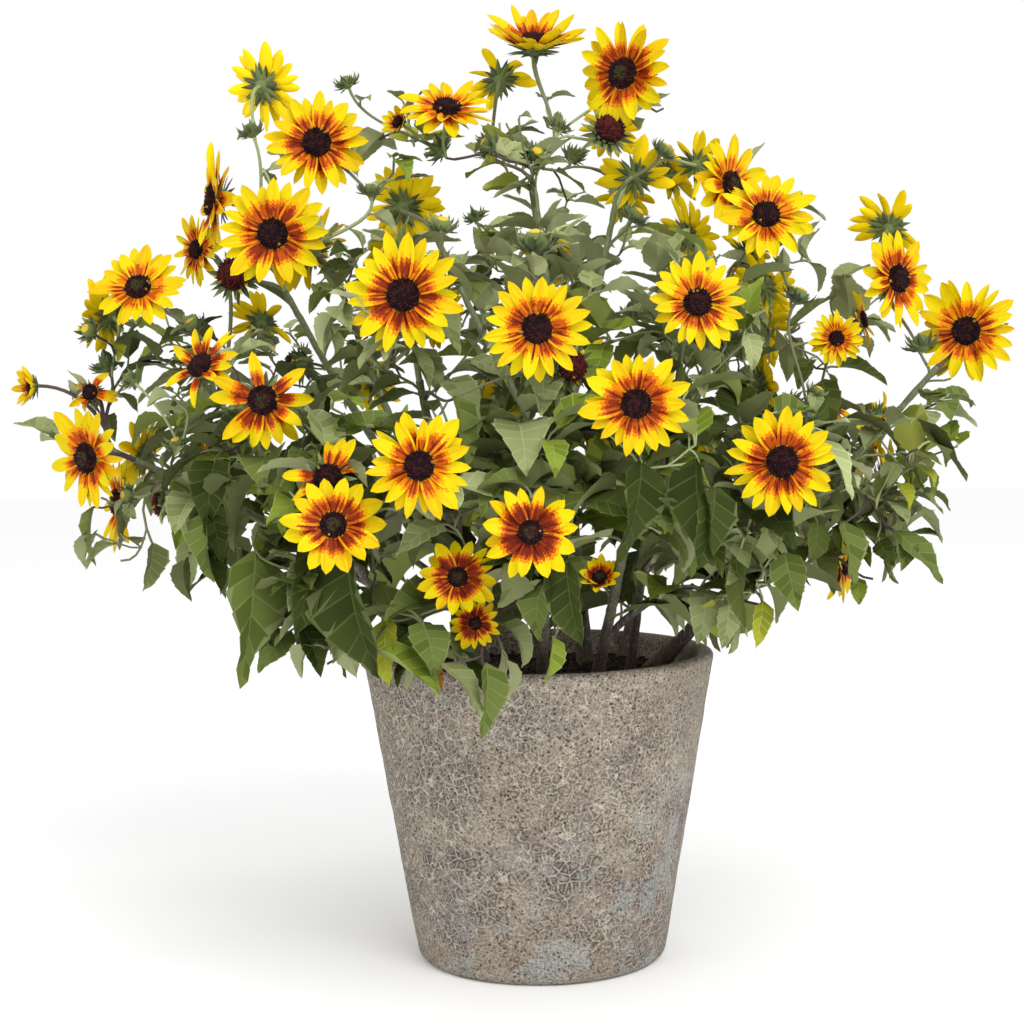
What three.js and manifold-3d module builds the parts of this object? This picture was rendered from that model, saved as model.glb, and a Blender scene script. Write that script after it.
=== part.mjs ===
// Dwarf sunflower in a conical pot of rough grey ceramic: the pot, its compost, ten stems that
// rise from the compost, the boughs that fork from them, and the masses of leaves and blooms.
// Millimetres, +Z up. The origin is the centre of the pot's flat underside, the front faces -Y.

import * as THREE from "three";
import { mergeVertices } from "three/addons/utils/BufferGeometryUtils.js";
import Module from "manifold-3d";

const wasm = await Module();
wasm.setup();

// Pot: a truncated cone, open at the top
const RIM_RADIUS = 150;
const BASE_RADIUS = 106;
const POT_HEIGHT = 261;
const WALL = 14;
const FLOOR = 16;
const FOOT_ROUNDING = 8;
const INNER_ROUNDING = 12;
const POT_SEGMENTS = 32;

// Compost, level with the ground from which the stems rise
const GROUND = 240;
const COMPOST_GAP = 0.3;

// Stems and boughs: tapering limbs, rings of vertices bent along a curve
const LIMB_SIDES = 5;
const STEM_STEPS = 5;
const BOUGH_STEPS = 4;
const LIMB_GAP = 0.35;
const ROOT_FLARE = 0.45;
const FLARE_REACH = 0.1;
const BURIED_FOOT = 14;
const BEND_HEIGHT = 0.5;
const ENTRY_DEPTH = 0.7;
const ENTRY_SEARCH_STEP = 0.01;

// Masses of leaves and blooms: uneven balls, parted from one another by flat cuts
const MASS_DETAIL = 3;
const MASS_GAP = 0.4;
const LOBES = 7;
const LOBE_SWELL = 0.28;
const LOBE_DENT = 0.2;
const LOBE_FOCUS = 4;
const BLOOM_HEIGHT = 650;

// Each mass: centre, then half its width, depth and height
const MASSES = {
  left_tip: [[-392, -10, 450], [52, 60, 60]],
  left_drape_outer: [[-345, -30, 384], [40, 58, 44]],
  left_drape_inner: [[-266, -90, 376], [46, 62, 56]],
  left_shoulder: [[-322, 35, 536], [60, 80, 70]],
  left_mid: [[-232, -110, 472], [70, 76, 64]],
  left_skirt: [[-166, -190, 334], [60, 58, 70]],
  upper_left_top: [[-200, 5, 712], [66, 74, 66]],
  upper_left_low: [[-224, -60, 608], [68, 74, 70]],
  upper_mid_left: [[-106, 15, 668], [52, 74, 80]],
  top_centre: [[-8, 0, 716], [60, 76, 82]],
  top_right: [[84, 10, 706], [40, 64, 90]],
  right_shoulder: [[174, -20, 612], [66, 82, 86]],
  right_tip_upper: [[304, 20, 586], [36, 56, 54]],
  right_tip_outer: [[356, -30, 522], [40, 56, 48]],
  right_small: [[252, 45, 516], [52, 84, 56]],
  right_mid: [[284, -60, 444], [70, 76, 50]],
  right_low: [[272, -20, 364], [66, 86, 52]],
  right_skirt: [[148, -120, 338], [66, 66, 58]],
  heart_left_high: [[-97, -180, 538], [62, 72, 78]],
  heart_mid_high: [[4, -180, 552], [68, 76, 84]],
  heart_right_high: [[119, -160, 530], [64, 76, 78]],
  front_left: [[-152, -210, 424], [56, 60, 58]],
  front_mid_left: [[-79, -235, 419], [58, 56, 62]],
  front_mid: [[10, -228, 394], [52, 56, 96]],
  front_right: [[82, -225, 438], [54, 60, 70]],
  front_far_right: [[178, -190, 423], [62, 66, 60]],
  rim_left: [[-64, -202, 312], [58, 42, 62]],
  back_left_far: [[-305, 110, 430], [80, 74, 70]],
  back_left_low: [[-190, 170, 375], [84, 78, 66]],
  back_left_high: [[-175, 150, 555], [90, 82, 84]],
  back_mid_low: [[-40, 230, 385], [86, 72, 66]],
  back_mid_high: [[-10, 190, 585], [94, 86, 88]],
  back_right_low: [[126, 186, 380], [88, 76, 66]],
  back_right_high: [[165, 140, 540], [88, 84, 84]],
  back_right_far: [[265, 110, 425], [78, 74, 66]],
  back_far: [[20, 280, 480], [90, 60, 66]],
  back_top: [[75, 110, 655], [66, 62, 66]],
};

// Each stem: foot on the ground, diameters at foot and tip, how far over its bend lies (0.5 gives a
// straight stem, less one that starts upright), and the mass that it ends in
const STEMS = {
  stem_centre: { foot: [42, 60], thick: 12, thin: 7, lean: 0.3, mass: "top_centre" },
  stem_right: { foot: [88, 36], thick: 13, thin: 7, lean: 0.5, mass: "right_mid" },
  stem_green: { foot: [78, 8], thick: 7, thin: 5, lean: 0.3, mass: "heart_right_high" },
  stem_left: { foot: [-80, 30], thick: 12, thin: 7, lean: 0.5, mass: "left_mid" },
  stem_front_left: { foot: [-52, -40], thick: 10, thin: 6, lean: 0.35, mass: "heart_left_high" },
  stem_front: { foot: [2, -58], thick: 10, thin: 6, lean: 0.45, mass: "front_mid" },
  stem_front_right: { foot: [46, -36], thick: 10, thin: 6, lean: 0.45, mass: "front_right" },
  stem_back_left: { foot: [-46, 74], thick: 11, thin: 6, lean: 0.4, mass: "back_left_high" },
  stem_back: { foot: [0, 96], thick: 11, thin: 6, lean: 0.35, mass: "back_mid_high" },
  stem_back_right: { foot: [74, 96], thick: 10, thin: 6, lean: 0.4, mass: "back_right_high" },
};

// Each bough: the stem that it forks from, how far up that stem, diameters at fork and tip, how
// high its middle arches over the straight line, and the mass that it ends in
const BOUGHS = {
  bough_top_right: { from: "stem_centre", at: 0.5, thick: 7, thin: 5, arch: -20, mass: "top_right" },
  bough_upper_left: { from: "stem_back_left", at: 0.5, thick: 8, thin: 5, arch: -25, mass: "upper_left_low" },
  bough_upper_mid: { from: "stem_centre", at: 0.4, thick: 7, thin: 5, arch: -25, mass: "upper_mid_left" },
  bough_shoulder: { from: "stem_back_right", at: 0.35, thick: 8, thin: 5, arch: -20, mass: "right_shoulder" },
  bough_right_tip: { from: "stem_right", at: 0.62, thick: 8, thin: 5, arch: -5, mass: "right_tip_outer" },
  bough_right_low: { from: "stem_right", at: 0.4, thick: 8, thin: 5, arch: 10, mass: "right_low" },
  bough_left_tip: { from: "stem_left", at: 0.45, thick: 8, thin: 5, arch: 18, mass: "left_tip" },
  bough_left_shoulder: { from: "stem_left", at: 0.3, thick: 8, thin: 5, arch: 0, mass: "left_shoulder" },
  bough_left_skirt: { from: "stem_left", at: 0.2, thick: 7, thin: 5, arch: 20, mass: "left_skirt" },
  bough_right_skirt: { from: "stem_front_right", at: 0.3, thick: 7, thin: 5, arch: 20, mass: "right_skirt" },
  bough_back_left: { from: "stem_back_left", at: 0.25, thick: 7, thin: 5, arch: 10, mass: "back_left_low" },
};

// Looks

const ceramic = new THREE.MeshStandardMaterial({ color: 0x91877a, roughness: 0.95, metalness: 0 });
const compost = new THREE.MeshStandardMaterial({ color: 0x2a211b, roughness: 1, metalness: 0 });
const bark = new THREE.MeshStandardMaterial({ color: 0x4b4036, roughness: 0.85, metalness: 0 });

// Leaf green low down, yellower towards the top, where most blooms stand
function foliageMaterial(height) {
  const bloomShare = THREE.MathUtils.smoothstep(height, GROUND, BLOOM_HEIGHT);
  const color = new THREE.Color(0x4f6343).lerp(new THREE.Color(0xe0b52a), bloomShare);
  return new THREE.MeshStandardMaterial({ color, roughness: 0.8, metalness: 0 });
}

// Geometry to solid, and back

function toSolid(geometry) {
  const bare = geometry.clone();
  bare.deleteAttribute("normal");
  bare.deleteAttribute("uv");
  const closed = mergeVertices(bare, 1e-4);
  return new wasm.Manifold(new wasm.Mesh({
    numProp: 3,
    vertProperties: Float32Array.from(closed.attributes.position.array),
    triVerts: Uint32Array.from(closed.index.array),
  }));
}

function toGeometry(solid) {
  const mesh = solid.getMesh();
  const geometry = new THREE.BufferGeometry();
  geometry.setAttribute("position", new THREE.BufferAttribute(mesh.vertProperties, 3));
  geometry.setIndex(new THREE.BufferAttribute(mesh.triVerts, 1));
  geometry.computeVertexNormals();
  return geometry;
}

// The main piece of a cut solid, without the crumbs that the cut parted from it
function mainPiece(solid) {
  return solid.decompose().reduce((main, piece) => (piece.volume() > main.volume() ? piece : main));
}

// All the space on the far side of a plane, as one large box
function spaceBeyond(point, direction) {
  const size = 3000;
  const box = new THREE.BoxGeometry(size, size, size);
  box.translate(0, 0, size / 2);
  box.applyQuaternion(new THREE.Quaternion().setFromUnitVectors(new THREE.Vector3(0, 0, 1), direction));
  box.translate(point.x, point.y, point.z);
  return toSolid(box);
}

function seededRandom(seed) {
  let state = (seed * 2654435761) >>> 0;
  return () => {
    state = (state + 0x6d2b79f5) >>> 0;
    let mixed = Math.imul(state ^ (state >>> 15), 1 | state);
    mixed ^= mixed + Math.imul(mixed ^ (mixed >>> 7), 61 | mixed);
    return ((mixed ^ (mixed >>> 14)) >>> 0) / 4294967296;
  };
}

// Pot and compost

const wallSlope = (RIM_RADIUS - BASE_RADIUS) / POT_HEIGHT;
const wallAcross = WALL * Math.hypot(1, wallSlope);

function innerRadius(height) {
  return BASE_RADIUS + wallSlope * height - wallAcross;
}

function lathe(profile) {
  const geometry = new THREE.LatheGeometry(profile.getPoints(2), POT_SEGMENTS);
  return geometry.rotateX(Math.PI / 2);
}

function potGeometry() {
  const lipHeight = POT_HEIGHT - WALL / 2;
  const profile = new THREE.Path();
  profile.moveTo(0, 0);
  profile.lineTo(BASE_RADIUS - FOOT_ROUNDING, 0);
  profile.quadraticCurveTo(BASE_RADIUS, 0, BASE_RADIUS + wallSlope * FOOT_ROUNDING, FOOT_ROUNDING);
  profile.lineTo(RIM_RADIUS, lipHeight);
  profile.absarc(RIM_RADIUS - WALL / 2, lipHeight, WALL / 2, 0, Math.PI, false);
  profile.lineTo(innerRadius(FLOOR + INNER_ROUNDING), FLOOR + INNER_ROUNDING);
  profile.quadraticCurveTo(innerRadius(FLOOR), FLOOR, innerRadius(FLOOR) - INNER_ROUNDING, FLOOR);
  profile.lineTo(0, FLOOR);
  return lathe(profile);
}

function compostGeometry() {
  const profile = new THREE.Path();
  profile.moveTo(0, FLOOR);
  profile.lineTo(innerRadius(FLOOR) - INNER_ROUNDING - COMPOST_GAP, FLOOR);
  profile.lineTo(innerRadius(FLOOR + INNER_ROUNDING) - COMPOST_GAP, FLOOR + INNER_ROUNDING);
  profile.lineTo(innerRadius(GROUND) - COMPOST_GAP, GROUND);
  profile.lineTo(0, GROUND);
  return lathe(profile);
}

// Masses: each a ball with lobes and dents of its own, drawn out to exactly its half sizes

function unevenBall({ centre, half }, seed) {
  const random = seededRandom(seed);
  const lobes = Array.from({ length: LOBES }, (_, index) => ({
    towards: new THREE.Vector3().setFromSphericalCoords(
      1, Math.acos(1 - 2 * random()), 2 * Math.PI * random()),
    height: index % 2 ? -LOBE_DENT * random() : LOBE_SWELL * random(),
  }));
  const ball = new THREE.OctahedronGeometry(1, MASS_DETAIL);
  const places = ball.attributes.position;
  const place = new THREE.Vector3();
  for (let i = 0; i < places.count; i++) {
    place.fromBufferAttribute(places, i).normalize();
    const reach = lobes.reduce((sum, lobe) =>
      sum + lobe.height * Math.max(0, place.dot(lobe.towards)) ** LOBE_FOCUS, 1);
    places.setXYZ(i, ...place.multiplyScalar(reach));
  }
  ball.center();
  const extent = ball.boundingBox.getSize(new THREE.Vector3());
  const stretch = half.clone().multiplyScalar(2).divide(extent);
  ball.scale(stretch.x, stretch.y, stretch.z);
  ball.translate(centre.x, centre.y, centre.z);
  return toSolid(ball);
}

// How far a mass reaches from its centre along a direction, before its lobes
function massReach({ half }, direction) {
  return 1 / direction.clone().divide(half).length();
}

const masses = Object.entries(MASSES).map(([name, [centre, half]], index) => {
  const mass = { name, centre: new THREE.Vector3(...centre), half: new THREE.Vector3(...half) };
  mass.solid = unevenBall(mass, index + 1);
  return mass;
});

function massNamed(name) {
  return masses.find((mass) => mass.name === name);
}

// Two masses that would overlap meet at a flat cut between their centres
function partMasses(one, other) {
  if (one.solid.intersect(other.solid).volume() === 0) {
    return;
  }
  const direction = other.centre.clone().sub(one.centre);
  const distance = direction.length();
  direction.normalize();
  const oneReach = massReach(one, direction);
  const share = oneReach / (oneReach + massReach(other, direction));
  const halfGap = MASS_GAP / 2;
  const middle = one.centre.clone().addScaledVector(direction, distance * share);
  const before = middle.clone().addScaledVector(direction, -halfGap);
  const after = middle.clone().addScaledVector(direction, halfGap);
  one.solid = one.solid.subtract(spaceBeyond(before, direction));
  other.solid = other.solid.subtract(spaceBeyond(after, direction.clone().negate()));
}

masses.forEach((one, index) => {
  masses.slice(index + 1).forEach((other) => partMasses(one, other));
});

// Limbs: a cylinder bent along a curve, thick at the foot and thin at the tip. A grown one is
// that much wider and longer all round, to cut the room that the limb needs.

function limbSolid({ curve, thick, thin, flare, steps }, grown) {
  const frames = curve.computeFrenetFrames(steps, false);
  const cylinder = new THREE.CylinderGeometry(1, 1, 1, LIMB_SIDES, steps);
  const places = cylinder.attributes.position;
  for (let i = 0; i < places.count; i++) {
    const share = places.getY(i) + 0.5;
    const ring = Math.round(share * steps);
    const flared = 1 + flare * Math.exp(-share / FLARE_REACH);
    const radius = THREE.MathUtils.lerp(thick, thin, share) * flared / 2 + grown;
    const place = curve.getPointAt(share)
      .addScaledVector(frames.tangents[ring], grown * (2 * share - 1))
      .addScaledVector(frames.normals[ring], radius * places.getX(i))
      .addScaledVector(frames.binormals[ring], -radius * places.getZ(i));
    places.setXYZ(i, place.x, place.y, place.z);
  }
  return toSolid(cylinder);
}

// The stretch of a curve that heads for a mass, up to where it has entered that mass
function curveInto(mass, start, bend) {
  const whole = new THREE.QuadraticBezierCurve3(start, bend, mass.centre);
  let share = 1;
  while (whole.getPoint(share).sub(mass.centre).divide(mass.half).length() < ENTRY_DEPTH) {
    share -= ENTRY_SEARCH_STEP;
  }
  return new THREE.QuadraticBezierCurve3(start, start.clone().lerp(bend, share), whole.getPoint(share));
}

const ground = new THREE.Vector3(0, 0, GROUND + COMPOST_GAP);
const belowGround = spaceBeyond(ground, new THREE.Vector3(0, 0, -1));

const stems = Object.entries(STEMS).map(([name, { foot, thick, thin, lean, mass }]) => {
  const start = new THREE.Vector3(...foot, GROUND - BURIED_FOOT);
  const target = massNamed(mass);
  const bend = start.clone().lerp(target.centre, lean);
  bend.z = THREE.MathUtils.lerp(start.z, target.centre.z, BEND_HEIGHT);
  const curve = curveInto(target, start, bend);
  const stem = { name, thick, thin, flare: ROOT_FLARE, steps: STEM_STEPS, curve };
  stem.solid = limbSolid(stem, 0).subtract(belowGround);
  return stem;
});

const boughs = Object.entries(BOUGHS).map(([name, { from, at, thick, thin, arch, mass }]) => {
  const parent = stems.find((stem) => stem.name === from);
  const start = parent.curve.getPointAt(at);
  const target = massNamed(mass);
  const bend = start.clone().lerp(target.centre, 0.5);
  bend.z += arch;
  const curve = curveInto(target, start, bend);
  const bough = { name, thick, thin, flare: 0, steps: BOUGH_STEPS, curve };
  bough.solid = mainPiece(limbSolid(bough, 0).subtract(limbSolid(parent, LIMB_GAP)));
  return bough;
});

const limbs = [...stems, ...boughs];

// A mass leaves room for every limb that enters or passes through it
const rooms = limbs.map((limb) => limbSolid(limb, LIMB_GAP));

function makeRoom(mass) {
  return mainPiece(rooms.reduce((solid, room) => solid.subtract(room), mass.solid));
}

// The plant in its pot

const plant = new THREE.Group();

function addMesh(name, geometry, material) {
  const mesh = new THREE.Mesh(geometry, material);
  mesh.name = name;
  plant.add(mesh);
}

addMesh("pot", potGeometry(), ceramic);
addMesh("compost", compostGeometry(), compost);
for (const limb of limbs) {
  addMesh(limb.name, toGeometry(limb.solid), bark);
}
for (const mass of masses) {
  addMesh(`foliage_${mass.name}`, toGeometry(makeRoom(mass)), foliageMaterial(mass.centre.z));
}

export default plant;
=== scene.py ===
import bmesh
import bpy
import math
import numpy as np
from mathutils import Matrix, Vector, noise
from mathutils.bvhtree import BVHTree


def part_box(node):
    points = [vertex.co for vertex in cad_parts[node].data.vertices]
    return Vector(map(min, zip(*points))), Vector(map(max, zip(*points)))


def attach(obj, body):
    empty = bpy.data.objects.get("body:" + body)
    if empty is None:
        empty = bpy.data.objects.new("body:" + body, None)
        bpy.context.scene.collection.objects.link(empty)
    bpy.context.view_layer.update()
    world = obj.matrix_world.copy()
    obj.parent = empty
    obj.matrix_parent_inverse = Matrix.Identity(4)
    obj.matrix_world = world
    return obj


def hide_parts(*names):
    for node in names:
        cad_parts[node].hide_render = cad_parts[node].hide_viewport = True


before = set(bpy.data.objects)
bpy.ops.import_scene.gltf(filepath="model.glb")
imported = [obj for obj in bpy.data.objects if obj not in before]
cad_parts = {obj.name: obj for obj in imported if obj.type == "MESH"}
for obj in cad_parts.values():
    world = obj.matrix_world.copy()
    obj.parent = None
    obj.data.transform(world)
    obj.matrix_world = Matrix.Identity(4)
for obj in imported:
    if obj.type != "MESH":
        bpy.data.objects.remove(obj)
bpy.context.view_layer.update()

# ---- Camera ----
# A short telephoto at the height of the crown's middle, a step and a half away, looking slightly
# down at the plant. It leans a little, so the pot stands a little askew in the picture.
CAMERA_PLACE = (0, -1.650, 0.487)
LOOKS_DOWN = 3.82
LOOKS_LEFT = 0.72
LEANS_RIGHT = 0.80
LENS_MM = 67.9

camera_turn = (Matrix.Rotation(math.radians(LOOKS_LEFT), 4, "Z")
               @ Matrix.Rotation(math.radians(90 - LOOKS_DOWN), 4, "X")
               @ Matrix.Rotation(math.radians(-LEANS_RIGHT), 4, "Z"))
bpy.ops.object.camera_add(location=CAMERA_PLACE, rotation=camera_turn.to_euler())
camera = bpy.context.object
camera.name = "camera"
camera.data.sensor_width = 36
camera.data.lens = LENS_MM
camera.data.dof.use_dof = False
bpy.context.scene.camera = camera

# ---- Studio ----
# A white floor under a white sky, one large soft lamp from the right and above, and a weaker one
# from the left to open the shadows.
SKY_STRENGTH = 1.0
FLOOR_SIZE = 14
LAMPS = {
    "lamp_right": {"at": (1.0, -2.2, 2.2), "size": 1.8, "watts": 56},
    "lamp_left": {"at": (-1.9, -1.7, 1.2), "size": 1.4, "watts": 10},
}
LAMPS_AIM = Vector((0, 0, 0.42))

bpy.context.scene.view_settings.view_transform = "Standard"
sky = bpy.data.worlds.new("white_sky")
sky.use_nodes = True
sky.node_tree.nodes["Background"].inputs["Color"].default_value = (1, 1, 1, 1)
sky.node_tree.nodes["Background"].inputs["Strength"].default_value = SKY_STRENGTH
bpy.context.scene.world = sky

for lamp_name, lamp in LAMPS.items():
    aim = LAMPS_AIM - Vector(lamp["at"])
    bpy.ops.object.light_add(type="AREA", location=lamp["at"],
                             rotation=aim.to_track_quat("-Z", "Y").to_euler())
    bpy.context.object.name = lamp_name
    bpy.context.object.data.size = lamp["size"]
    bpy.context.object.data.energy = lamp["watts"]


def plain_material(name, colour, roughness, **sockets):
    """A material of one colour, with its constants set on the shader itself."""
    material = bpy.data.materials.new(name)
    material.use_nodes = True
    shader = material.node_tree.nodes["Principled BSDF"]
    shader.inputs["Base Color"].default_value = (*colour, 1)
    shader.inputs["Roughness"].default_value = roughness
    for socket, value in sockets.items():
        shader.inputs[socket.replace("_", " ")].default_value = value
    return material


bpy.ops.mesh.primitive_plane_add(size=FLOOR_SIZE, location=(0, 0, 0))
floor = bpy.context.object
floor.name = "studio_floor"
bpy.ops.object.transform_apply(location=True)
floor.data.materials.append(plain_material("white_floor", (0.95, 0.95, 0.95), 0.9))

# ---- Pot ----
# One thick conical pot of rough unglazed ceramic, cast in one piece and fired until its skin
# bubbled: craters with pale edges, dark pores, mauve and brown clouds, bluish bloom near the foot.
POT_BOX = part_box("pot")
RIM_RADIUS = (POT_BOX[1].x - POT_BOX[0].x) / 2
POT_HEIGHT = POT_BOX[1].z
BASE_RADIUS = 0.706 * RIM_RADIUS
WALL = 0.014
POT_FLOOR = 0.016
INNER_BASE_RADIUS = BASE_RADIUS - WALL
LIP_ROUNDING = 0.0055
FOOT_ROUNDING = 0.008
POT_SIDES = 240
POT_RINGS = 56
CRATER_WIDTH = 0.0075
CRATER_DEPTH = 0.0016
DENT_WIDTH = 0.030
DENT_DEPTH = 0.0016
BIG_CELL = 0.0082
SMALL_CELL = 0.0036
PORE_CELL = 0.0038
RUFFLE = 0.0019
SKIN_RELIEF = 0.0006
POT_TAN = (0.300, 0.250, 0.200)
POT_MAUVE = (0.205, 0.172, 0.162)
POT_BROWN = (0.150, 0.116, 0.086)
POT_BLUISH = (0.400, 0.425, 0.405)
POT_RIDGE = (0.600, 0.530, 0.430)
POT_PIT = (0.105, 0.084, 0.067)
POT_PORE = (0.028, 0.022, 0.018)


def choose(piece):
    """Make one piece the only selected and active one."""
    bpy.ops.object.select_all(action="DESELECT")
    piece.select_set(True)
    bpy.context.view_layer.objects.active = piece


def start_editing(piece):
    """Edit one piece, with nothing selected in it."""
    choose(piece)
    bpy.ops.object.mode_set(mode="EDIT")
    bpy.ops.mesh.select_all(action="DESELECT")


def select_where(piece, kind, chosen):
    """In edit mode, select the faces or edges that a test picks: a face by its middle and normal,
    an edge by its two ends."""
    bpy.ops.mesh.select_mode(type=kind)
    bpy.ops.mesh.select_all(action="DESELECT")
    shape = bmesh.from_edit_mesh(piece.data)
    if kind == "FACE":
        for face in shape.faces:
            face.select_set(chosen(face.calc_center_median(), face.normal))
    else:
        for edge in shape.edges:
            edge.select_set(chosen(edge.verts[0].co, edge.verts[1].co))
    bmesh.update_edit_mesh(piece.data)


def finish_editing():
    bpy.ops.object.mode_set(mode="OBJECT")


def apply_modifier(piece, kind, **settings):
    """Add one modifier and apply it."""
    choose(piece)
    modifier = piece.modifiers.new(kind.lower(), kind)
    for setting, value in settings.items():
        setattr(modifier, setting, value)
    bpy.ops.object.modifier_apply(modifier=modifier.name)


def share_group(piece, name, share):
    """A vertex group whose weight is a function of a vertex's place."""
    group = piece.vertex_groups.new(name=name)
    for vertex in piece.data.vertices:
        group.add([vertex.index], min(max(share(vertex.co), 0), 1), "REPLACE")
    return name


def relief(name, kind, width, **settings):
    """A texture for a displacement to follow."""
    texture = bpy.data.textures.new(name, kind)
    texture.noise_scale = width
    for setting, value in settings.items():
        setattr(texture, setting, value)
    return texture


def smooth(piece, angle=180):
    choose(piece)
    bpy.ops.object.shade_smooth_by_angle(angle=math.radians(angle))


def node(kind, *values, tree=None, settings=None, **inputs):
    """Add a shader node to the tree that its sockets come from, and set or link its inputs, by
    order or by name."""
    given = list(enumerate(values)) + [(label.replace("_", " "), value) for label, value in inputs.items()]
    tree = tree or next(value.id_data for _, value in given if isinstance(value, bpy.types.NodeSocket))
    added = tree.nodes.new("ShaderNode" + kind)
    for setting, value in (settings or {}).items():
        setattr(added, setting, value)
    for place, value in given:
        if isinstance(value, bpy.types.NodeSocket):
            tree.links.new(value, added.inputs[place])
        else:
            added.inputs[place].default_value = value
    return added


def object_place(material):
    return node("TexCoord", tree=material.node_tree).outputs["Object"]


def rise(value, low, high):
    """0 up to low, 1 from high, and a straight rise between them."""
    return node("MapRange", value, low, high).outputs[0]


def times(one, other):
    return node("Math", one, other, settings={"operation": "MULTIPLY"}).outputs[0]


def plus(one, other):
    return node("Math", one, other, settings={"operation": "ADD"}).outputs[0]


def tint(share, one, other):
    """One colour turning into another as the share goes from 0 to 1."""
    colours = [colour if isinstance(colour, bpy.types.NodeSocket) else (*colour, 1)
               for colour in (one, other)]
    return node("MixRGB", share, *colours).outputs[0]


def clouds(place, scale, detail=3):
    return node("TexNoise", Vector=place, Scale=scale, Detail=detail).outputs[0]


def cells(place, width, feature="DISTANCE_TO_EDGE"):
    pattern = node("TexVoronoi", settings={"feature": feature}, Vector=place, Scale=1 / width)
    return pattern.outputs["Distance"]


def dress(colour, roughness, height, depth):
    """Link a pattern's colour, roughness and relief to the shader of its material."""
    tree = colour.id_data
    bump = node("Bump", Strength=1.0, Distance=depth, Height=height).outputs[0]
    for label, value in (("Base Color", colour), ("Roughness", roughness), ("Normal", bump)):
        tree.links.new(value, tree.nodes["Principled BSDF"].inputs[label])


def on_outer_wall(middle, normal):
    return middle.xy.dot(normal.xy) > 0 and FOOT_ROUNDING < middle.z < POT_HEIGHT - LIP_ROUNDING


def on_skin(place):
    """1 on the outer wall, 0 inside, on the lip and underneath."""
    wall_radius = BASE_RADIUS + (RIM_RADIUS - BASE_RADIUS) * place.z / POT_HEIGHT
    outside = place.xy.length > wall_radius - 0.004
    return outside * min(1, (place.z - 0.001) / 0.006, (POT_HEIGHT - 0.004 - place.z) / 0.008)


def cratered(place):
    """Craters lie in patches, most of them low down."""
    patch = noise.noise(place * 21) + 0.25 + 0.5 * (1 - place.z / POT_HEIGHT)
    return on_skin(place) * min(max(patch, 0.12), 1)


bpy.ops.object.select_all(action="DESELECT")
bpy.ops.mesh.primitive_cone_add(vertices=POT_SIDES, radius1=BASE_RADIUS, radius2=RIM_RADIUS,
                                depth=POT_HEIGHT, location=(0, 0, POT_HEIGHT / 2))
pot = bpy.context.object
pot.name = "ceramic_pot"
bpy.ops.object.transform_apply(location=True)
start_editing(pot)
select_where(pot, "FACE", lambda middle, normal: normal.z > 0.9)
bpy.ops.mesh.inset(thickness=WALL)
bpy.ops.mesh.extrude_region_move(TRANSFORM_OT_translate={"value": (0, 0, POT_FLOOR - POT_HEIGHT)})
inner_scale = INNER_BASE_RADIUS / (RIM_RADIUS - WALL)
bpy.ops.transform.resize(value=(inner_scale, inner_scale, 1))
select_where(pot, "EDGE", lambda one, other: min(one.z, other.z) > POT_HEIGHT - 1e-4
             and abs(one.xy.length - other.xy.length) < 1e-4)
bpy.ops.mesh.bevel(offset=LIP_ROUNDING, segments=4, affect="EDGES")
select_where(pot, "EDGE", lambda one, other: max(one.z, other.z) < 1e-4)
bpy.ops.mesh.bevel(offset=FOOT_ROUNDING, segments=4, affect="EDGES")
for ring in range(1, POT_RINGS):
    ring_height = FOOT_ROUNDING + (POT_HEIGHT - FOOT_ROUNDING - LIP_ROUNDING) * ring / POT_RINGS
    select_where(pot, "FACE", on_outer_wall)
    bpy.ops.mesh.bisect(plane_co=(0, 0, ring_height), plane_no=(0, 0, 1))
select_where(pot, "FACE", on_outer_wall)
bpy.ops.mesh.subdivide(number_cuts=1)
finish_editing()
apply_modifier(pot, "DISPLACE", texture=relief("pot_dents", "CLOUDS", DENT_WIDTH), texture_coords="LOCAL",
               mid_level=0.7, strength=DENT_DEPTH, vertex_group=share_group(pot, "skin", on_skin))
crater_edges = relief("pot_craters", "VORONOI", CRATER_WIDTH, weight_1=-1, weight_2=1, noise_intensity=1.6)
apply_modifier(pot, "DISPLACE", texture=crater_edges, texture_coords="LOCAL", mid_level=0,
               strength=-CRATER_DEPTH, vertex_group=share_group(pot, "craters", cratered))
pot.vertex_groups.clear()
smooth(pot)

ceramic = plain_material("lava_ceramic", POT_TAN, 0.95, Specular_IOR_Level=0.15)
place = object_place(ceramic)
spread_of = node("SeparateXYZ", place)
rightward, height = spread_of.outputs[0], spread_of.outputs[2]
ruffle = node("TexNoise", Vector=place, Scale=260, Detail=2).outputs[1]
ruffled = node("MixRGB", RUFFLE, place, ruffle, settings={"blend_type": "ADD"}).outputs[0]
big_cells = cells(ruffled, BIG_CELL)
small_cells = cells(ruffled, SMALL_CELL)
grain = clouds(place, 520, 3)
brown_cloud = times(rise(clouds(place, 11, 5), 0.46, 0.56), rise(height, 0.08, 0.26))
ridged_patch = rise(plus(clouds(place, 17, 5), times(rightward, -0.5)), 0.42, 0.54)
big_ridge = times(rise(big_cells, 0.085, 0.015), ridged_patch)
small_ridge = times(rise(small_cells, 0.15, 0.03), rise(clouds(place, 45, 4), 0.36, 0.50))
crevice = times(times(rise(big_cells, 0.09, 0.16), rise(big_cells, 0.30, 0.18)),
                times(rise(height, 0.27, 0.12), rise(clouds(place, 40, 3), 0.44, 0.60)))
bloom_patch = times(rise(clouds(place, 34, 8), 0.525, 0.550),
                    rise(plus(height, times(rightward, -0.6)), 0.14, 0.02))
salt_spots = rise(clouds(place, 31, 4), 0.68, 0.72)
pore = times(rise(cells(ruffled, PORE_CELL, "F1"), 0.32, 0.20), rise(clouds(place, 150, 2), 0.44, 0.52))
skin = tint(rise(clouds(place, 15, 7), 0.44, 0.56), POT_TAN, POT_MAUVE)
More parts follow.
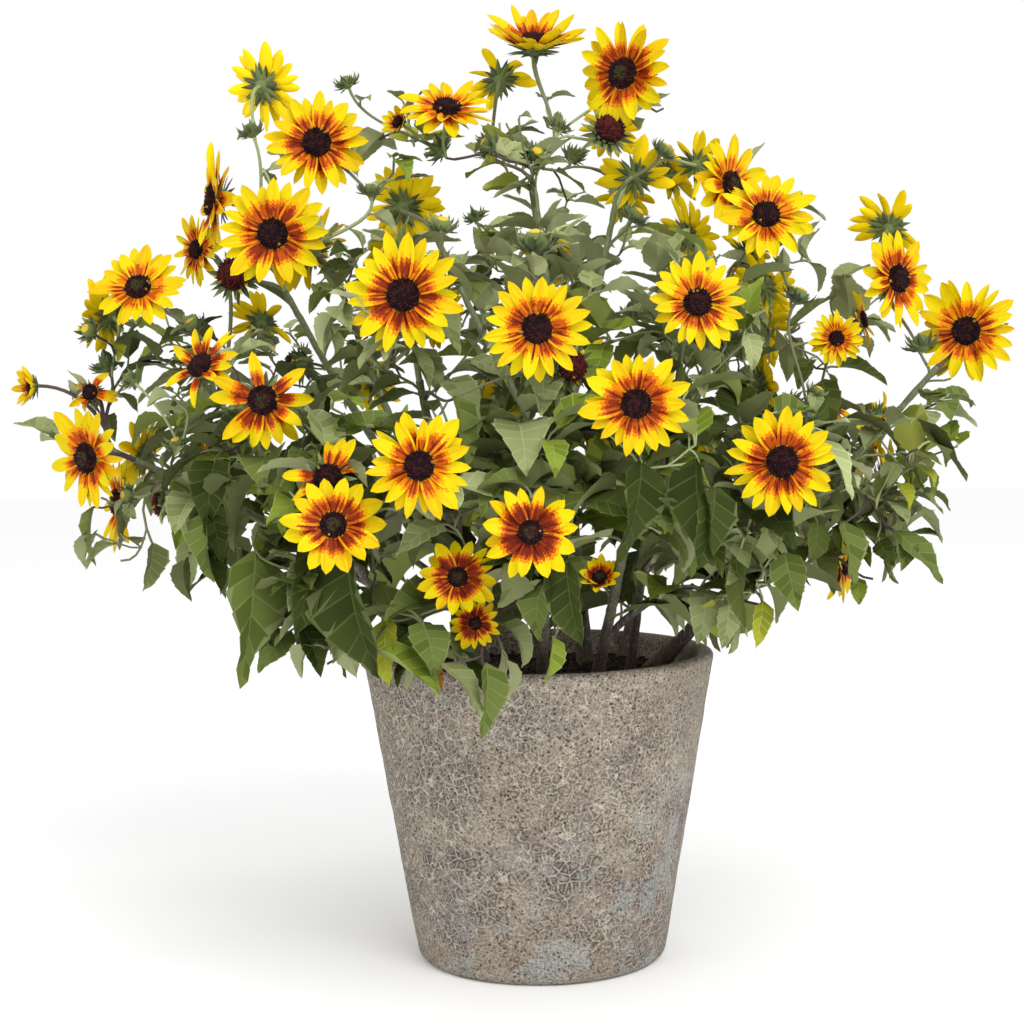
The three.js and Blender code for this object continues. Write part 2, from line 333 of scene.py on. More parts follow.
for share, strength, colour in (
        (brown_cloud, 0.75, POT_BROWN), (rise(small_cells, 0.12, 0.40), 0.46, POT_PIT),
        (small_ridge, 0.56, POT_RIDGE), (big_ridge, 0.86, POT_RIDGE), (crevice, 0.62, POT_PORE),
        (bloom_patch, 0.72, POT_BLUISH), (salt_spots, 0.7, POT_BLUISH), (pore, 0.85, POT_PORE),
        (rise(height, 0.20, 0.0), 0.30, POT_BROWN), (rise(grain, 0.52, 0.62), 0.46, POT_PIT),
        (rise(grain, 0.43, 0.34), 0.34, POT_RIDGE)):
    skin = tint(times(share, strength), skin, colour)
surface = plus(plus(small_ridge, times(big_ridge, 1.4)), plus(times(crevice, -1.5), times(pore, -1.6)))
dress(skin, rise(surface, -2.5, 1.2), surface, SKIN_RELIEF)
pot.data.materials.append(ceramic)

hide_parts("pot")
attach(pot, "root")

# ---- Compost ----
# Dark peat compost that fills the pot to just under its lip, pressed into a low uneven bed, with
# loose crumbs and slivers of bark on it, joined with it into one piece.
COMPOST_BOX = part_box("compost")
GROUND = COMPOST_BOX[1].z
BED_RADIUS = (COMPOST_BOX[1].x - COMPOST_BOX[0].x) / 2 - 0.0006
BED_FOOT = COMPOST_BOX[0].z + 0.001
BED_SIDES = 96
BED_RINGS = 28
BED_LUMP_WIDTH = 0.014
BED_LUMP_HEIGHT = 0.005
BED_EDGE = 0.004
CRUMB_COUNT = 1100
CRUMB_SIZES = (0.0012, 0.0034)
CRUMB_LIFT = 0.0012
CRUMB_SHAPE = (1.0, 1.0, 0.8)
SLIVER_SHARE = 0.12
SLIVER_SHAPE = (2.6, 0.8, 0.5)
COMPOST_DARK = (0.012, 0.008, 0.006)
COMPOST_BROWN = (0.050, 0.032, 0.022)
COMPOST_BARK = (0.110, 0.070, 0.042)
COMPOST_SEED = 11


def join_shapes(name, shapes, materials):
    """One piece of many small shapes. Each entry is an array of points (copies x points x 3), the
    faces of one copy, and the material of each face, alike for all copies or for each of them."""
    places, corners, starts, finishes = [], [], [], []
    vertices = loops = 0
    for points, faces, finish in shapes:
        copies, size = points.shape[:2]
        outline = np.concatenate([np.asarray(face) for face in faces])
        counts = np.array([len(face) for face in faces])
        places.append(points.reshape(-1, 3))
        corners.append((vertices + size * np.arange(copies)[:, None] + outline).ravel())
        first = np.concatenate([[0], np.cumsum(counts)[:-1]])
        starts.append((loops + len(outline) * np.arange(copies)[:, None] + first).ravel())
        finishes.append(np.broadcast_to(finish, (copies, len(faces))).ravel())
        vertices += copies * size
        loops += copies * len(outline)
    mesh = bpy.data.meshes.new(name)
    mesh.vertices.add(vertices)
    mesh.vertices.foreach_set("co", np.concatenate(places).astype(np.float32).ravel())
    mesh.loops.add(loops)
    mesh.loops.foreach_set("vertex_index", np.concatenate(corners).astype(np.int32))
    mesh.polygons.add(sum(len(part) for part in starts))
    mesh.polygons.foreach_set("loop_start", np.concatenate(starts).astype(np.int32))
    mesh.polygons.foreach_set("material_index", np.concatenate(finishes).astype(np.int32))
    mesh.update(calc_edges=True)
    for material in materials:
        mesh.materials.append(material)
    piece = bpy.data.objects.new(name, mesh)
    bpy.context.collection.objects.link(piece)
    return piece


bpy.ops.object.select_all(action="DESELECT")
bpy.ops.mesh.primitive_cone_add(vertices=BED_SIDES, radius1=INNER_BASE_RADIUS - 0.004, radius2=BED_RADIUS,
                                depth=GROUND - BED_FOOT, location=(0, 0, (GROUND + BED_FOOT) / 2))
compost = bpy.context.object
compost.name = "compost_bed"
bpy.ops.object.transform_apply(location=True)
start_editing(compost)
select_where(compost, "FACE", lambda middle, normal: normal.z > 0.9)
for ring in range(BED_RINGS):
    bpy.ops.mesh.inset(thickness=BED_RADIUS / (BED_RINGS + 2))
finish_editing()


def on_bed(place):
    return float(place.z > GROUND - 1e-4) * min(1, (BED_RADIUS - place.xy.length) / BED_EDGE)


lumps = relief("compost_lumps", "CLOUDS", BED_LUMP_WIDTH, noise_depth=3)
apply_modifier(compost, "DISPLACE", texture=lumps, texture_coords="LOCAL", mid_level=0.45, direction="Z",
               strength=BED_LUMP_HEIGHT, vertex_group=share_group(compost, "bed", on_bed))
compost.vertex_groups.clear()
smooth(compost, 60)

bpy.ops.mesh.primitive_ico_sphere_add(subdivisions=1, radius=1)
crumb = bpy.context.object
crumb_points = np.array([vertex.co[:] for vertex in crumb.data.vertices])
crumb_faces = [list(face.vertices) for face in crumb.data.polygons]
bpy.data.objects.remove(crumb)
chance = np.random.default_rng(COMPOST_SEED)
crumb_radius = (BED_RADIUS - BED_EDGE) * np.sqrt(chance.random(CRUMB_COUNT))
crumb_angle = 2 * math.pi * chance.random(CRUMB_COUNT)
crumb_size = chance.uniform(*CRUMB_SIZES, CRUMB_COUNT)
crumb_shape = crumb_points * chance.uniform(0.7, 1.25, (CRUMB_COUNT, len(crumb_points), 1))
is_sliver = chance.random(CRUMB_COUNT) < SLIVER_SHARE
crumb_shape *= np.where(is_sliver[:, None], SLIVER_SHAPE, CRUMB_SHAPE)[:, None, :]
turn = 2 * math.pi * chance.random(CRUMB_COUNT)
spun = np.stack([crumb_shape[..., 0] * np.cos(turn)[:, None] - crumb_shape[..., 1] * np.sin(turn)[:, None],
                 crumb_shape[..., 0] * np.sin(turn)[:, None] + crumb_shape[..., 1] * np.cos(turn)[:, None],
                 crumb_shape[..., 2]], -1) * crumb_size[:, None, None]
crumb_place = np.stack([crumb_radius * np.cos(crumb_angle), crumb_radius * np.sin(crumb_angle),
                        np.full(CRUMB_COUNT, GROUND + CRUMB_LIFT)], -1)
crumbs = join_shapes("crumbs", [(spun + crumb_place[:, None, :], crumb_faces, 0)], [])
choose(compost)
crumbs.select_set(True)
bpy.ops.object.join()

peat = plain_material("peat", COMPOST_DARK, 0.95, Specular_IOR_Level=0.2)
place = object_place(peat)
peat_colour = tint(rise(clouds(place, 320, 3), 0.42, 0.62), COMPOST_DARK, COMPOST_BROWN)
peat_colour = tint(rise(cells(place, 0.005, "F1"), 0.30, 0.16), peat_colour, COMPOST_BARK)
peat_grain = clouds(place, 900, 3)
dress(peat_colour, rise(peat_grain, -1.5, 1.0), peat_grain, 0.0012)
compost.data.materials.clear()
compost.data.materials.append(peat)

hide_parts("compost")
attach(compost, "root")

# ---- Stems and boughs ----
# Ten bristly stems rise from the compost and eleven boughs fork from them. Each is a solid round
# shoot, ribbed along its length, woody and purple-brown near the ground and greener higher up.
LIMB_SIDES = 14
LIMB_STEP = 0.005
LIMB_SINK = 0.006
RING_CORNERS = 5
TIP_REACH = 0.012
FOOT_SWELL = 1.45
RIB_WIDTH = 0.006
RIB_DEPTH = 0.0011
BARK_PURPLE = (0.058, 0.036, 0.036)
BARK_BROWN = (0.120, 0.082, 0.055)
BARK_GREEN = (0.130, 0.160, 0.062)
BARK_HAIR = (0.330, 0.310, 0.250)


def limb_rings(name):
    """The middles and radii of a limb's rings of five, from its foot to its tip, found by walking
    along the edges from the middle of its flat tip."""
    walk = bmesh.new()
    walk.from_mesh(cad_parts[name].data)
    bmesh.ops.remove_doubles(walk, verts=walk.verts, dist=1e-5)
    ground = Vector((0, 0, GROUND))
    far = max(walk.verts, key=lambda corner: (corner.co - ground).length)
    near = [corner for corner in walk.verts if (corner.co - far.co).length < TIP_REACH]
    ring = {min(near, key=lambda corner: sum((corner.co - other.co).length for other in near))}
    met, middles, radii = set(), [], []
    while ring:
        met |= ring
        ring = {edge.other_vert(corner) for corner in ring for edge in corner.link_edges} - met
        if len(ring) == RING_CORNERS:
            middle = sum((corner.co for corner in ring), Vector()) / RING_CORNERS
            middles.append(middle)
            radii.append(sum((corner.co - middle).length for corner in ring) / RING_CORNERS)
    walk.free()
    return middles[::-1], radii[::-1]


def smooth_path(points, radii, step):
    """A rounded path through a few points, with a point at every step."""
    points = np.array([list(point) for point in points])
    spaced = np.vstack([2 * points[0] - points[1], points, 2 * points[-1] - points[-2]])
    path, width = [], []
    for i in range(1, len(spaced) - 2):
        a, b, c, d = spaced[i - 1:i + 3]
        count = max(2, round(float(np.linalg.norm(c - b)) / step))
        for t in np.arange(count) / count:
            path.append(0.5 * (2 * b + (c - a) * t + (2 * a - 5 * b + 4 * c - d) * t * t
                               + (3 * b - a - 3 * c + d) * t ** 3))
            width.append(radii[i - 1] + (radii[i] - radii[i - 1]) * t)
    return np.array(path + [points[-1]]), np.array(width + [radii[-1]])


def tubes(name, paths, sides, materials):
    """Round rods of changing width along paths, as one mesh: each entry is points, radii, material."""
    curve = bpy.data.curves.new(name, "CURVE")
    curve.dimensions = "3D"
    curve.bevel_depth = 1
    curve.bevel_resolution = sides // 2 - 2
    curve.use_fill_caps = True
    for material in materials:
        curve.materials.append(material)
    for points, radii, finish in paths:
        spline = curve.splines.new("POLY")
        spline.points.add(len(points) - 1)
        spline.points.foreach_set("co", np.hstack([points, np.ones((len(points), 1))]).ravel())
        spline.points.foreach_set("radius", radii)
        spline.material_index = finish
        spline.use_smooth = True
    piece = bpy.data.objects.new(name, curve)
    bpy.context.collection.objects.link(piece)
    choose(piece)
    bpy.ops.object.convert(target="MESH")
    return bpy.context.object


bark = plain_material("stem_skin", BARK_PURPLE, 0.75, Specular_IOR_Level=0.3)
place = object_place(bark)
height = node("SeparateXYZ", place).outputs[2]
mottle = clouds(place, 60, 3)
bark_colour = tint(rise(plus(height, times(mottle, 0.3)), 0.40, 0.62), BARK_PURPLE, BARK_GREEN)
woody = times(rise(height, GROUND + 0.06, GROUND), 0.9)
bark_colour = tint(woody, bark_colour, BARK_BROWN)
drawn_out = node("Mapping", place, Scale=(1, 1, 0.12)).outputs[0]
streaks = clouds(drawn_out, 900, 2)
bark_colour = tint(times(rise(streaks, 0.52, 0.68), 0.5), bark_colour, BARK_HAIR)
dress(bark_colour, rise(streaks, -0.9, 1.4), streaks, 0.0005)

ribs = relief("stem_ribs", "STUCCI", RIB_WIDTH)
skeleton = []
for limb_name in sorted(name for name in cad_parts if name.startswith(("stem_", "bough_"))):
    middles, radii = limb_rings(limb_name)
    if limb_name.startswith("stem_"):
        first_step = middles[0] - middles[1]
        middles.insert(0, middles[0] + first_step * (GROUND - LIMB_SINK - middles[0].z) / first_step.z)
        radii.insert(0, radii[0] * FOOT_SWELL)
    else:
        middles.insert(0, 3 * middles[0] - 3 * middles[1] + middles[2])
        radii.insert(0, radii[0])
    path, widths = smooth_path(middles, radii, LIMB_STEP)
    skeleton.append((path, widths))
    limb = tubes(limb_name + "_bark", [(path, widths, 0)], LIMB_SIDES, [bark])
    apply_modifier(limb, "DISPLACE", texture=ribs, texture_coords="LOCAL", mid_level=0.5, strength=RIB_DEPTH)
    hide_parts(limb_name)
    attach(limb, "root")

# ---- Flower heads: where they stand ----
# The plant ends in many flower heads, each on a stalk of its own, and green buds between them.
# A head is given by the mass it stands in, its share of that mass's box from the middle, how far
# it is turned to the right of the front and upwards in degrees, its width in mm, and its state.
HEADS = [
    ("upper_left_top", (-0.4, 0.3, 0.5), (155, 12), 72, "full"),
    ("upper_left_top", (0.4, -0.9, -0.4), (4, 6), 84, "full"),
    ("upper_left_low", (0.3, -0.8, 0.0), (0, 4), 86, "full"),
    ("upper_left_low", (-0.58, 0.3, 0.5), (-74, 8), 90, "full"),
    ("left_shoulder", (0.6, -0.3, 1.0), (-45, 5), 60, "full"),
    ("upper_left_low", (-0.3, 0.0, -0.4), (-10, 10), 46, "seed"),
    ("left_shoulder", (0.0, -1.2, 0.5), (-6, 30), 76, "full"),
    ("upper_mid_left", (0.7, -0.6, 0.6), (8, 52), 80, "full"),
    ("upper_mid_left", (-0.1, -0.3, 0.5), (-40, 20), 34, "half"),
    ("upper_mid_left", (-0.1, 0.6, -0.3), (165, 15), 74, "full"),
    ("heart_left_high", (0.1, -0.7, 0.2), (-3, 3), 87, "full"),
    ("left_mid", (-0.37, -0.5, 0.52), (-34, 34), 74, "ragged"),
    ("left_mid", (0.4, -1.1, 0.1), (0, 0), 80, "ragged"),
    ("front_left", (0.1, -0.7, -0.1), (2, 18), 76, "torn"),
    ("front_mid_left", (-0.1, -1.0, 0.2), (3, 4), 76, "full"),
    ("left_tip", (0.5, -1.0, -0.3), (-42, -4), 88, "full"),
    ("left_tip", (-0.7, 0.2, 0.7), (-60, 0), 42, "half"),
    ("left_tip", (0.4, -0.3, 0.6), (-20, 8), 50, "torn"),
    ("back_left_high", (-0.7, -1.0, -0.1), (170, 30), 62, "ragged"),
    ("top_centre", (0.2, -0.1, 0.68), (8, 62), 92, "cup"),
    ("top_centre", (-0.3, 0.4, 0.4), (178, 24), 64, "torn"),
    ("top_right", (-0.2, -0.6, 0.4), (-36, 5), 92, "full"),
    ("top_right", (-0.5, -0.5, -0.1), (25, 30), 44, "seed"),
    ("top_right", (0.15, 0.3, -0.48), (150, 6), 72, "ragged"),
    ("right_shoulder", (-0.2, -0.5, 0.4), (50, 8), 80, "full"),
    ("right_shoulder", (0.2, -0.7, 0.1), (6, 24), 80, "full"),
    ("right_shoulder", (-0.5, 0.5, 0.7), (160, 10), 60, "ragged"),
    ("right_shoulder", (-0.6, 0.4, 0.0), (120, 20), 70, "full"),
    ("right_shoulder", (0.4, 0.7, -0.5), (140, 10), 66, "ragged"),
    ("right_tip_upper", (-0.1, -1.0, -0.3), (40, 4), 82, "full"),
    ("right_tip_upper", (0.1, 0.3, 0.62), (150, 30), 70, "ragged"),
    ("right_tip_outer", (0.05, 0.0, 0.1), (-24, 4), 84, "full"),
    ("right_small", (-0.1, -1.2, 0.1), (0, 8), 46, "full"),
    ("right_small", (0.5, -0.5, 0.4), (70, 12), 50, "ragged"),
    ("heart_right_high", (0.0, -0.8, 0.2), (4, 8), 74, "full"),
    ("heart_mid_high", (-0.1, -1.2, -0.3), (0, 2), 78, "full"),
    ("heart_mid_high", (0.3, -0.7, -0.62), (25, 0), 38, "seed"),
    ("front_right", (-0.2, -1.1, 0.5), (0, 0), 76, "full"),
    ("front_far_right", (0.0, -0.8, 0.1), (4, 2), 84, "full"),
    ("right_mid", (0.1, 0.8, 0.2), (100, -25), 56, "torn"),
    ("right_small", (0.1, -0.3, -0.9), (60, 5), 48, "torn"),
    ("front_left", (0.2, -1.0, -0.7), (2, 16), 76, "dark"),
    ("rim_left", (0.1, -0.9, 0.6), (-4, 18), 60, "dark"),
    ("rim_left", (0.3, -0.4, 0.0), (2, 12), 40, "dark"),
    ("front_mid", (-0.3, -1.2, -0.1), (0, 6), 70, "dark"),
    ("front_mid", (0.68, -0.4, -0.5), (-15, 42), 36, "half"),
]
BUDS = [
    ("left_shoulder", (-0.8, -0.7, 0.0), 17), ("left_shoulder", (0.7, -0.9, 0.0), 19),
    ("left_shoulder", (-0.1, -1.2, -0.6), 16), ("upper_left_top", (-0.5, -0.2, -0.2), 18),
    ("upper_mid_left", (-0.5, -0.9, -0.3), 16), ("left_drape_outer", (0.3, -0.5, 0.4), 15),
    ("left_mid", (-0.8, 0.3, -0.5), 16), ("upper_mid_left", (0.6, -0.2, 0.2), 20),
    ("top_centre", (-0.4, -0.3, -0.4), 19), ("top_centre", (0.5, -0.1, -0.2), 16),
    ("top_centre", (0.2, -0.3, -0.5), 18), ("heart_left_high", (0.6, -0.6, 0.8), 18),
    ("top_right", (0.6, -0.2, -0.3), 17), ("heart_mid_high", (-0.1, -0.5, 0.4), 26),
    ("right_shoulder", (0.6, -0.5, -0.7), 20), ("right_tip_outer", (-0.8, 0.2, -0.2), 22),
    ("right_mid", (-0.8, 0.0, 0.6), 16), ("right_low", (0.2, -0.5, 0.5), 16),
    ("left_skirt", (0.0, -0.7, 0.3), 18),
]
# The largest leaves hang on long stalks of their own. Each mass has a list of them: the share of its
# box, how far one turns to the right of the front and hangs down, its length in mm, and its green.
BIG_LEAVES = {
    "left_skirt": [
        ((-0.70, -0.5, 0.60), (-12, 80), 103, "mid"), ((0.50, -0.9, 0.62), (6, 78), 98, "dark"),
        ((0.05, -0.7, 0.80), (-4, 74), 78, "dark"), ((0.95, -0.5, -0.2), (-25, 62), 52, "yellowing")],
    "rim_left": [
        ((0.45, -1.1, -0.42), (20, 72), 56, "mid"), ((-0.95, -0.9, -0.30), (72, 14), 62, "fresh"),
        ((-0.1, -1.1, -0.40), (60, 30), 52, "grey"), ((-0.35, 0.9, -0.62), (40, 40), 24, "dry")],
    "front_mid": [
        ((0.0, -0.9, -0.92), (0, 82), 34, "fresh"), ((0.20, -1.0, -0.34), (4, 78), 62, "dark")],
    "front_right": [
        ((-0.12, -0.8, -0.08), (-4, 78), 78, "dark"), ((0.62, -0.8, -0.05), (-20, 76), 80, "dark"),
        ((0.85, -0.9, -0.36), (-12, 76), 62, "dark")],
    "right_skirt": [
        ((0.05, -0.9, 0.28), (-4, 80), 62, "mid"), ((0.42, -0.3, -0.38), (-20, 74), 38, "yellowing"),
        ((0.62, -0.8, 0.32), (24, 70), 46, "mid")],
    "right_low": [
        ((-0.40, -0.9, 0.20), (25, 68), 54, "mid"), ((0.30, -0.5, 0.02), (62, 36), 60, "mid")],
    "right_mid": [((0.22, -0.3, 0.22), (70, 30), 70, "dark")],
    "left_drape_outer": [
        ((-0.45, -0.6, 0.2), (-40, 68), 50, "mid"), ((0.75, -0.6, -0.5), (5, 80), 42, "grey")],
    "left_drape_inner": [((0.2, -0.8, 0.3), (-20, 72), 56, "mid")],
    "heart_left_high": [((0.75, -0.8, -0.75), (30, 60), 62, "mid")],
    "right_small": [((-0.2, -0.7, -0.5), (10, 66), 50, "mid")],
}
# The sides and the back carry heads as thickly as the front does: how many each mass has there.
HEADS_BEHIND = {
    "back_left_far": 3, "back_left_low": 2, "back_left_high": 4, "back_mid_low": 2, "back_mid_high": 4,
    "back_right_low": 3, "back_right_high": 4, "back_right_far": 3, "back_far": 3, "back_top": 3,
    "left_shoulder": 1, "right_low": 1, "left_drape_outer": 1, "top_centre": 1,
}
STATES_BEHIND = ("full", "full", "full", "full", "ragged", "seed", "dark")
HEAD_WIDTHS_BEHIND = (62, 86)
HEAD_DEPTHS_BEHIND = (0.75, 0.98)
HEADS_OVER_POT = 0.04
HEAD_SPACING = 0.070
TRIES = 400
BUDS_BEHIND = 18
BUD_WIDTHS_BEHIND = (0.015, 0.020)
BUD_DEPTH_BEHIND = 0.9
BUD_SPACING = 0.045
LOWEST_BUD = 0.36
OPEN_GAP = (-0.08, -0.02, 0.62)
DISC_SHARE = 0.285
DISC_SWELLS = {"seed": 2.0, "half": 1.15, "dark": 0.9}
GROWTH_SEED = 23


def mass_box(mass):
    """The middle and half sizes of a foliage mass."""
    low, high = (np.array(corner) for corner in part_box("foliage_" + mass))
    return (low + high) / 2, (high - low) / 2


def spot_in(mass, share):
    """The place that lies a share of a mass's box from its middle."""
    middle, half = mass_box(mass)
    return middle + half * share


def facing(turn, up):
    """The way a head looks that is turned from the front to the right, and up."""
    turn, up = math.radians(turn), math.radians(up)
    return np.array([math.sin(turn) * math.cos(up), -math.cos(turn) * math.cos(up), math.sin(up)])


def unit(vectors):
    return vectors / np.maximum(np.linalg.norm(vectors, axis=-1, keepdims=True), 1e-9)


growth = np.random.default_rng(GROWTH_SEED)
MASSES = sorted(name[len("foliage_"):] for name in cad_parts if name.startswith("foliage_"))
PLANT_MIDDLE = np.mean([mass_box(mass)[0] for mass in MASSES], axis=0)
mass_shapes = bmesh.new()
for mass in MASSES:
    mass_shapes.from_mesh(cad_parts["foliage_" + mass].data)
bmesh.ops.remove_doubles(mass_shapes, verts=mass_shapes.verts, dist=1e-5)
mass_surface = BVHTree.FromBMesh(mass_shapes)
mass_shapes.free()


def outside_by(place):
    """How far a place lies outside all the masses, below zero inside one."""
    nearest, normal, _, distance = mass_surface.find_nearest(Vector(place))
    return distance if (Vector(place) - nearest).dot(normal) > 0 else -distance


def in_the_gap(place):
    """Whether a place lies behind the opening in the top of the crown."""
    return OPEN_GAP[0] < place[0] < OPEN_GAP[1] and place[1] > 0.1 and place[2] > OPEN_GAP[2]


heads = [{"place": spot_in(mass, share), "way": facing(turn, up), "width": width / 1000, "state": state}
         for mass, share, (turn, up), width, state in HEADS]
for mass, count in HEADS_BEHIND.items():
    middle, half = mass_box(mass)
    made = 0
    for attempt in range(TRIES):
        out = unit(growth.normal(size=3) + 0.6 * unit(middle - PLANT_MIDDLE))
        spot = middle + half * out * growth.uniform(*HEAD_DEPTHS_BEHIND)
        away = unit(spot - PLANT_MIDDLE)
        if out.dot(away) < 0.2 or min(spot[1], away[1]) < 0.01 or spot[2] < POT_HEIGHT + HEADS_OVER_POT:
            continue
        nearest = min(np.linalg.norm(spot - head["place"]) for head in heads)
        if nearest < HEAD_SPACING or outside_by(spot) > 0.002:
            continue
        lifted = unit(away * (1, 1, 0.35)) + (0, 0, growth.uniform(-0.05, 0.55))
        way = unit(lifted + 0.25 * growth.normal(size=3))
        state = growth.choice(STATES_BEHIND)
        width = growth.uniform(*HEAD_WIDTHS_BEHIND) / 1000 * (0.5 if state == "seed" else 1)
        heads.append({"place": spot, "way": way, "width": width, "state": str(state)})
        made += 1
        if made == count:
            break
heads = [head for head in heads if not in_the_gap(head["place"])]
for head in heads:
    head["disc"] = DISC_SHARE * head["width"] / 2 * DISC_SWELLS.get(head["state"], 1.0)
buds = [{"place": spot_in(mass, share), "width": width / 1000} for mass, share, width in BUDS]
while len(buds) < len(BUDS) + BUDS_BEHIND:
    middle, half = mass_box(MASSES[growth.integers(len(MASSES))])
    spot = middle + half * unit(growth.normal(size=3)) * BUD_DEPTH_BEHIND
    if spot[1] > 0 and spot[2] > LOWEST_BUD and outside_by(spot) < 0.004 and all(
            np.linalg.norm(spot - other["place"]) > BUD_SPACING for other in heads + buds):
        buds.append({"place": spot, "width": growth.uniform(*BUD_WIDTHS_BEHIND)})

# ---- Side shoots and flower stalks ----
# From the stems and boughs the plant goes on branching by one rule: each flower head, bud and
# leafy tip is joined to the nearest shoot that already heads its way, by a rod that leaves that
# shoot on a slant and bends to its own end. All are bristly rods, purple-brown or green.
SHOOT_STEP = 0.008
SHORTEST_SHOOT = 0.035
SHOOT_SWAY = 0.045
SHOOT_SIDES = 6
FORK_HEIGHT = 0.030
TIP_SPACING = 0.034
TIP_DEPTHS = (0.35, 0.9)
TIPS_INSIDE = 0.004
GREENS_OVER_POT = 0.015
TIPS_PER_LITRE = 9.0
# How thickly leafy tips stand in a mass, as a share of the usual number.
TIP_SHARES = {
    "upper_left_top": 0.0, "upper_left_low": 0.25, "upper_mid_left": 0.3, "left_tip": 0.2,
    "left_shoulder": 0.45, "left_drape_outer": 0.5, "left_drape_inner": 0.7, "left_mid": 0.8,
    "left_skirt": 1.2, "top_centre": 0.35, "top_right": 0.25, "right_shoulder": 0.5, "right_small": 0.6,
    "right_tip_upper": 0.15, "right_tip_outer": 0.15, "right_skirt": 1.6, "heart_left_high": 0.8,
    "heart_mid_high": 0.8, "heart_right_high": 0.8, "front_mid": 1.7, "front_right": 1.3,
    "rim_left": 1.5, "back_top": 0.3, "back_left_high": 0.6, "back_right_high": 0.65,
    "back_mid_high": 0.7, "back_left_low": 1.2, "back_mid_low": 1.4, "back_right_low": 1.4,
}
HEAD_STALK = 0.0021
BUD_STALK = 0.0013
TIP_STALK = 0.0010
THICKENING = 0.006
THICKEST_SHOOT = 0.0034
FORKS_TRIED = 10
FACE_CLEARANCE = 0.085
FACE_SHARE = 0.47
SHOOT_PURPLE = (0.105, 0.072, 0.066)
SHOOT_OLIVE = (0.175, 0.185, 0.090)
SHOOT_GREEN = (0.290, 0.345, 0.150)

forks = {"places": [], "ways": [], "widths": []}
for path, widths in skeleton:
    kept = path[:, 2] > GROUND + FORK_HEIGHT
    for key, values in (("places", path), ("ways", unit(np.gradient(path, axis=0))), ("widths", widths)):
        forks[key].extend(values[kept][::2])
head_places = np.array([head["place"] for head in heads])
head_ways = np.array([head["way"] for head in heads])
head_widths = np.array([head["width"] for head in heads])
LOOKS_BACK = unit(np.array(CAMERA_PLACE) - head_places)
is_shown = (np.arange(len(heads)) < len(HEADS)) | (np.sum(head_ways * LOOKS_BACK, axis=1) > 0.5)
seen_ways = np.where(is_shown[:, None], LOOKS_BACK, head_ways)


def hides_a_face(places, margin=1.0, but=-1):
    """Whether any of some places lies in front of a flower head's face, close to it."""
    away = np.atleast_2d(places)[:, None, :] - head_places[None]
    result = False
    for ways in (head_ways, seen_ways):
        ahead = np.sum(away * ways, axis=2)
        aside = np.linalg.norm(away - ahead[..., None] * ways, axis=2)
        hidden = (ahead > -0.002) & (ahead < FACE_CLEARANCE) & (aside < FACE_SHARE * margin * head_widths)
        if 0 <= but < len(heads):
            hidden[:, but] = False
        result = result or bool(hidden.any())
    return result


def grow(goal, arrival, end_width, own_head=-1):
    """Join a goal to the shoots so far, and return the new shoot's points and widths. It forks off
    a near place that lies below and behind the goal, where the path hides no flower's face."""
    places, ways, widths = (np.array(forks[key]) for key in ("places", "ways", "widths"))
    gaps = goal - places
    reach = np.linalg.norm(gaps, axis=1)
    climb = np.sum(gaps * ways, axis=1) / np.maximum(reach, 1e-6)
    lift = gaps[:, 2] / np.maximum(reach, 1e-6)
    backing = np.sum(gaps * arrival, axis=1) / np.maximum(reach, 1e-6)
    cost = reach * (1.75 - 0.45 * climb - 0.25 * lift - 0.15 * backing)
    cost += 3 * np.maximum(SHORTEST_SHOOT - reach, 0)
    best = None
    for i in np.argsort(cost)[:FORKS_TRIED]:
        onward = unit(0.5 * ways[i] + 0.5 * gaps[i] / reach[i] + (0, 0, 0.15))
        leash = 0.36 * reach[i]
        a, b, c, d = places[i], places[i] + onward * leash, goal - arrival * leash * 0.9, goal
        t = np.linspace(0, 1, max(5, int(reach[i] * 1.15 / SHOOT_STEP)))[:, None]
        path = (1 - t) ** 3 * a + 3 * (1 - t) ** 2 * t * b + 3 * (1 - t) * t ** 2 * c + t ** 3 * d
        sway = unit(np.cross(onward, arrival) + 1e-3 * growth.normal(size=3))
        waves = np.sin(t * math.pi * growth.uniform(1.0, 2.0))
        path += sway * waves * t * (1 - t) * reach[i] * growth.normal(0, SHOOT_SWAY)
        best = best or (path, i)
        if not hides_a_face(path[1:-1], 0.95, own_head):
            best = (path, i)
            break
    path, i = best
    length = float(np.sum(np.linalg.norm(np.diff(path, axis=0), axis=1)))
    start_width = min(end_width + THICKENING * length, THICKEST_SHOOT, 0.85 * widths[i])
    share = np.linspace(0, 1, len(path))
    width = start_width + (max(end_width, 0) - start_width) * share
    keep = slice(2, len(path) - (4 if own_head >= 0 else 1))
    forks["places"].extend(path[keep])
    forks["ways"].extend(unit(np.gradient(path, axis=0))[keep])
    forks["widths"].extend(width[keep])
    return path, width


big_leaves = [
    {"place": spot_in(mass, share), "way": facing(turn, -down), "length": length / 1000, "green": green}
    for mass, rows in BIG_LEAVES.items() for share, (turn, down), length, green in rows]
tips = []
for mass in MASSES:
    middle, half = mass_box(mass)
    litres = 4 / 3 * math.pi * float(np.prod(half)) * 1000
    wanted = round(litres * TIPS_PER_LITRE * TIP_SHARES.get(mass, 1)) + 1
    for attempt in range(wanted * 12):
        spot = middle + half * unit(growth.normal(size=3)) * growth.uniform(*TIP_DEPTHS)
        clear = not tips or min(np.linalg.norm(spot - tip) for tip in tips) > TIP_SPACING
        if (clear and outside_by(spot) < -TIPS_INSIDE and not hides_a_face(spot)
                and spot[2] > POT_HEIGHT + GREENS_OVER_POT):
            tips.append(spot)
            wanted -= 1
            if wanted == 0:
                break


def outward(place, lift):
    """The way from the plant's middle to a place, lifted a little."""
    return unit(unit(place - PLANT_MIDDLE) + (0, 0, lift))


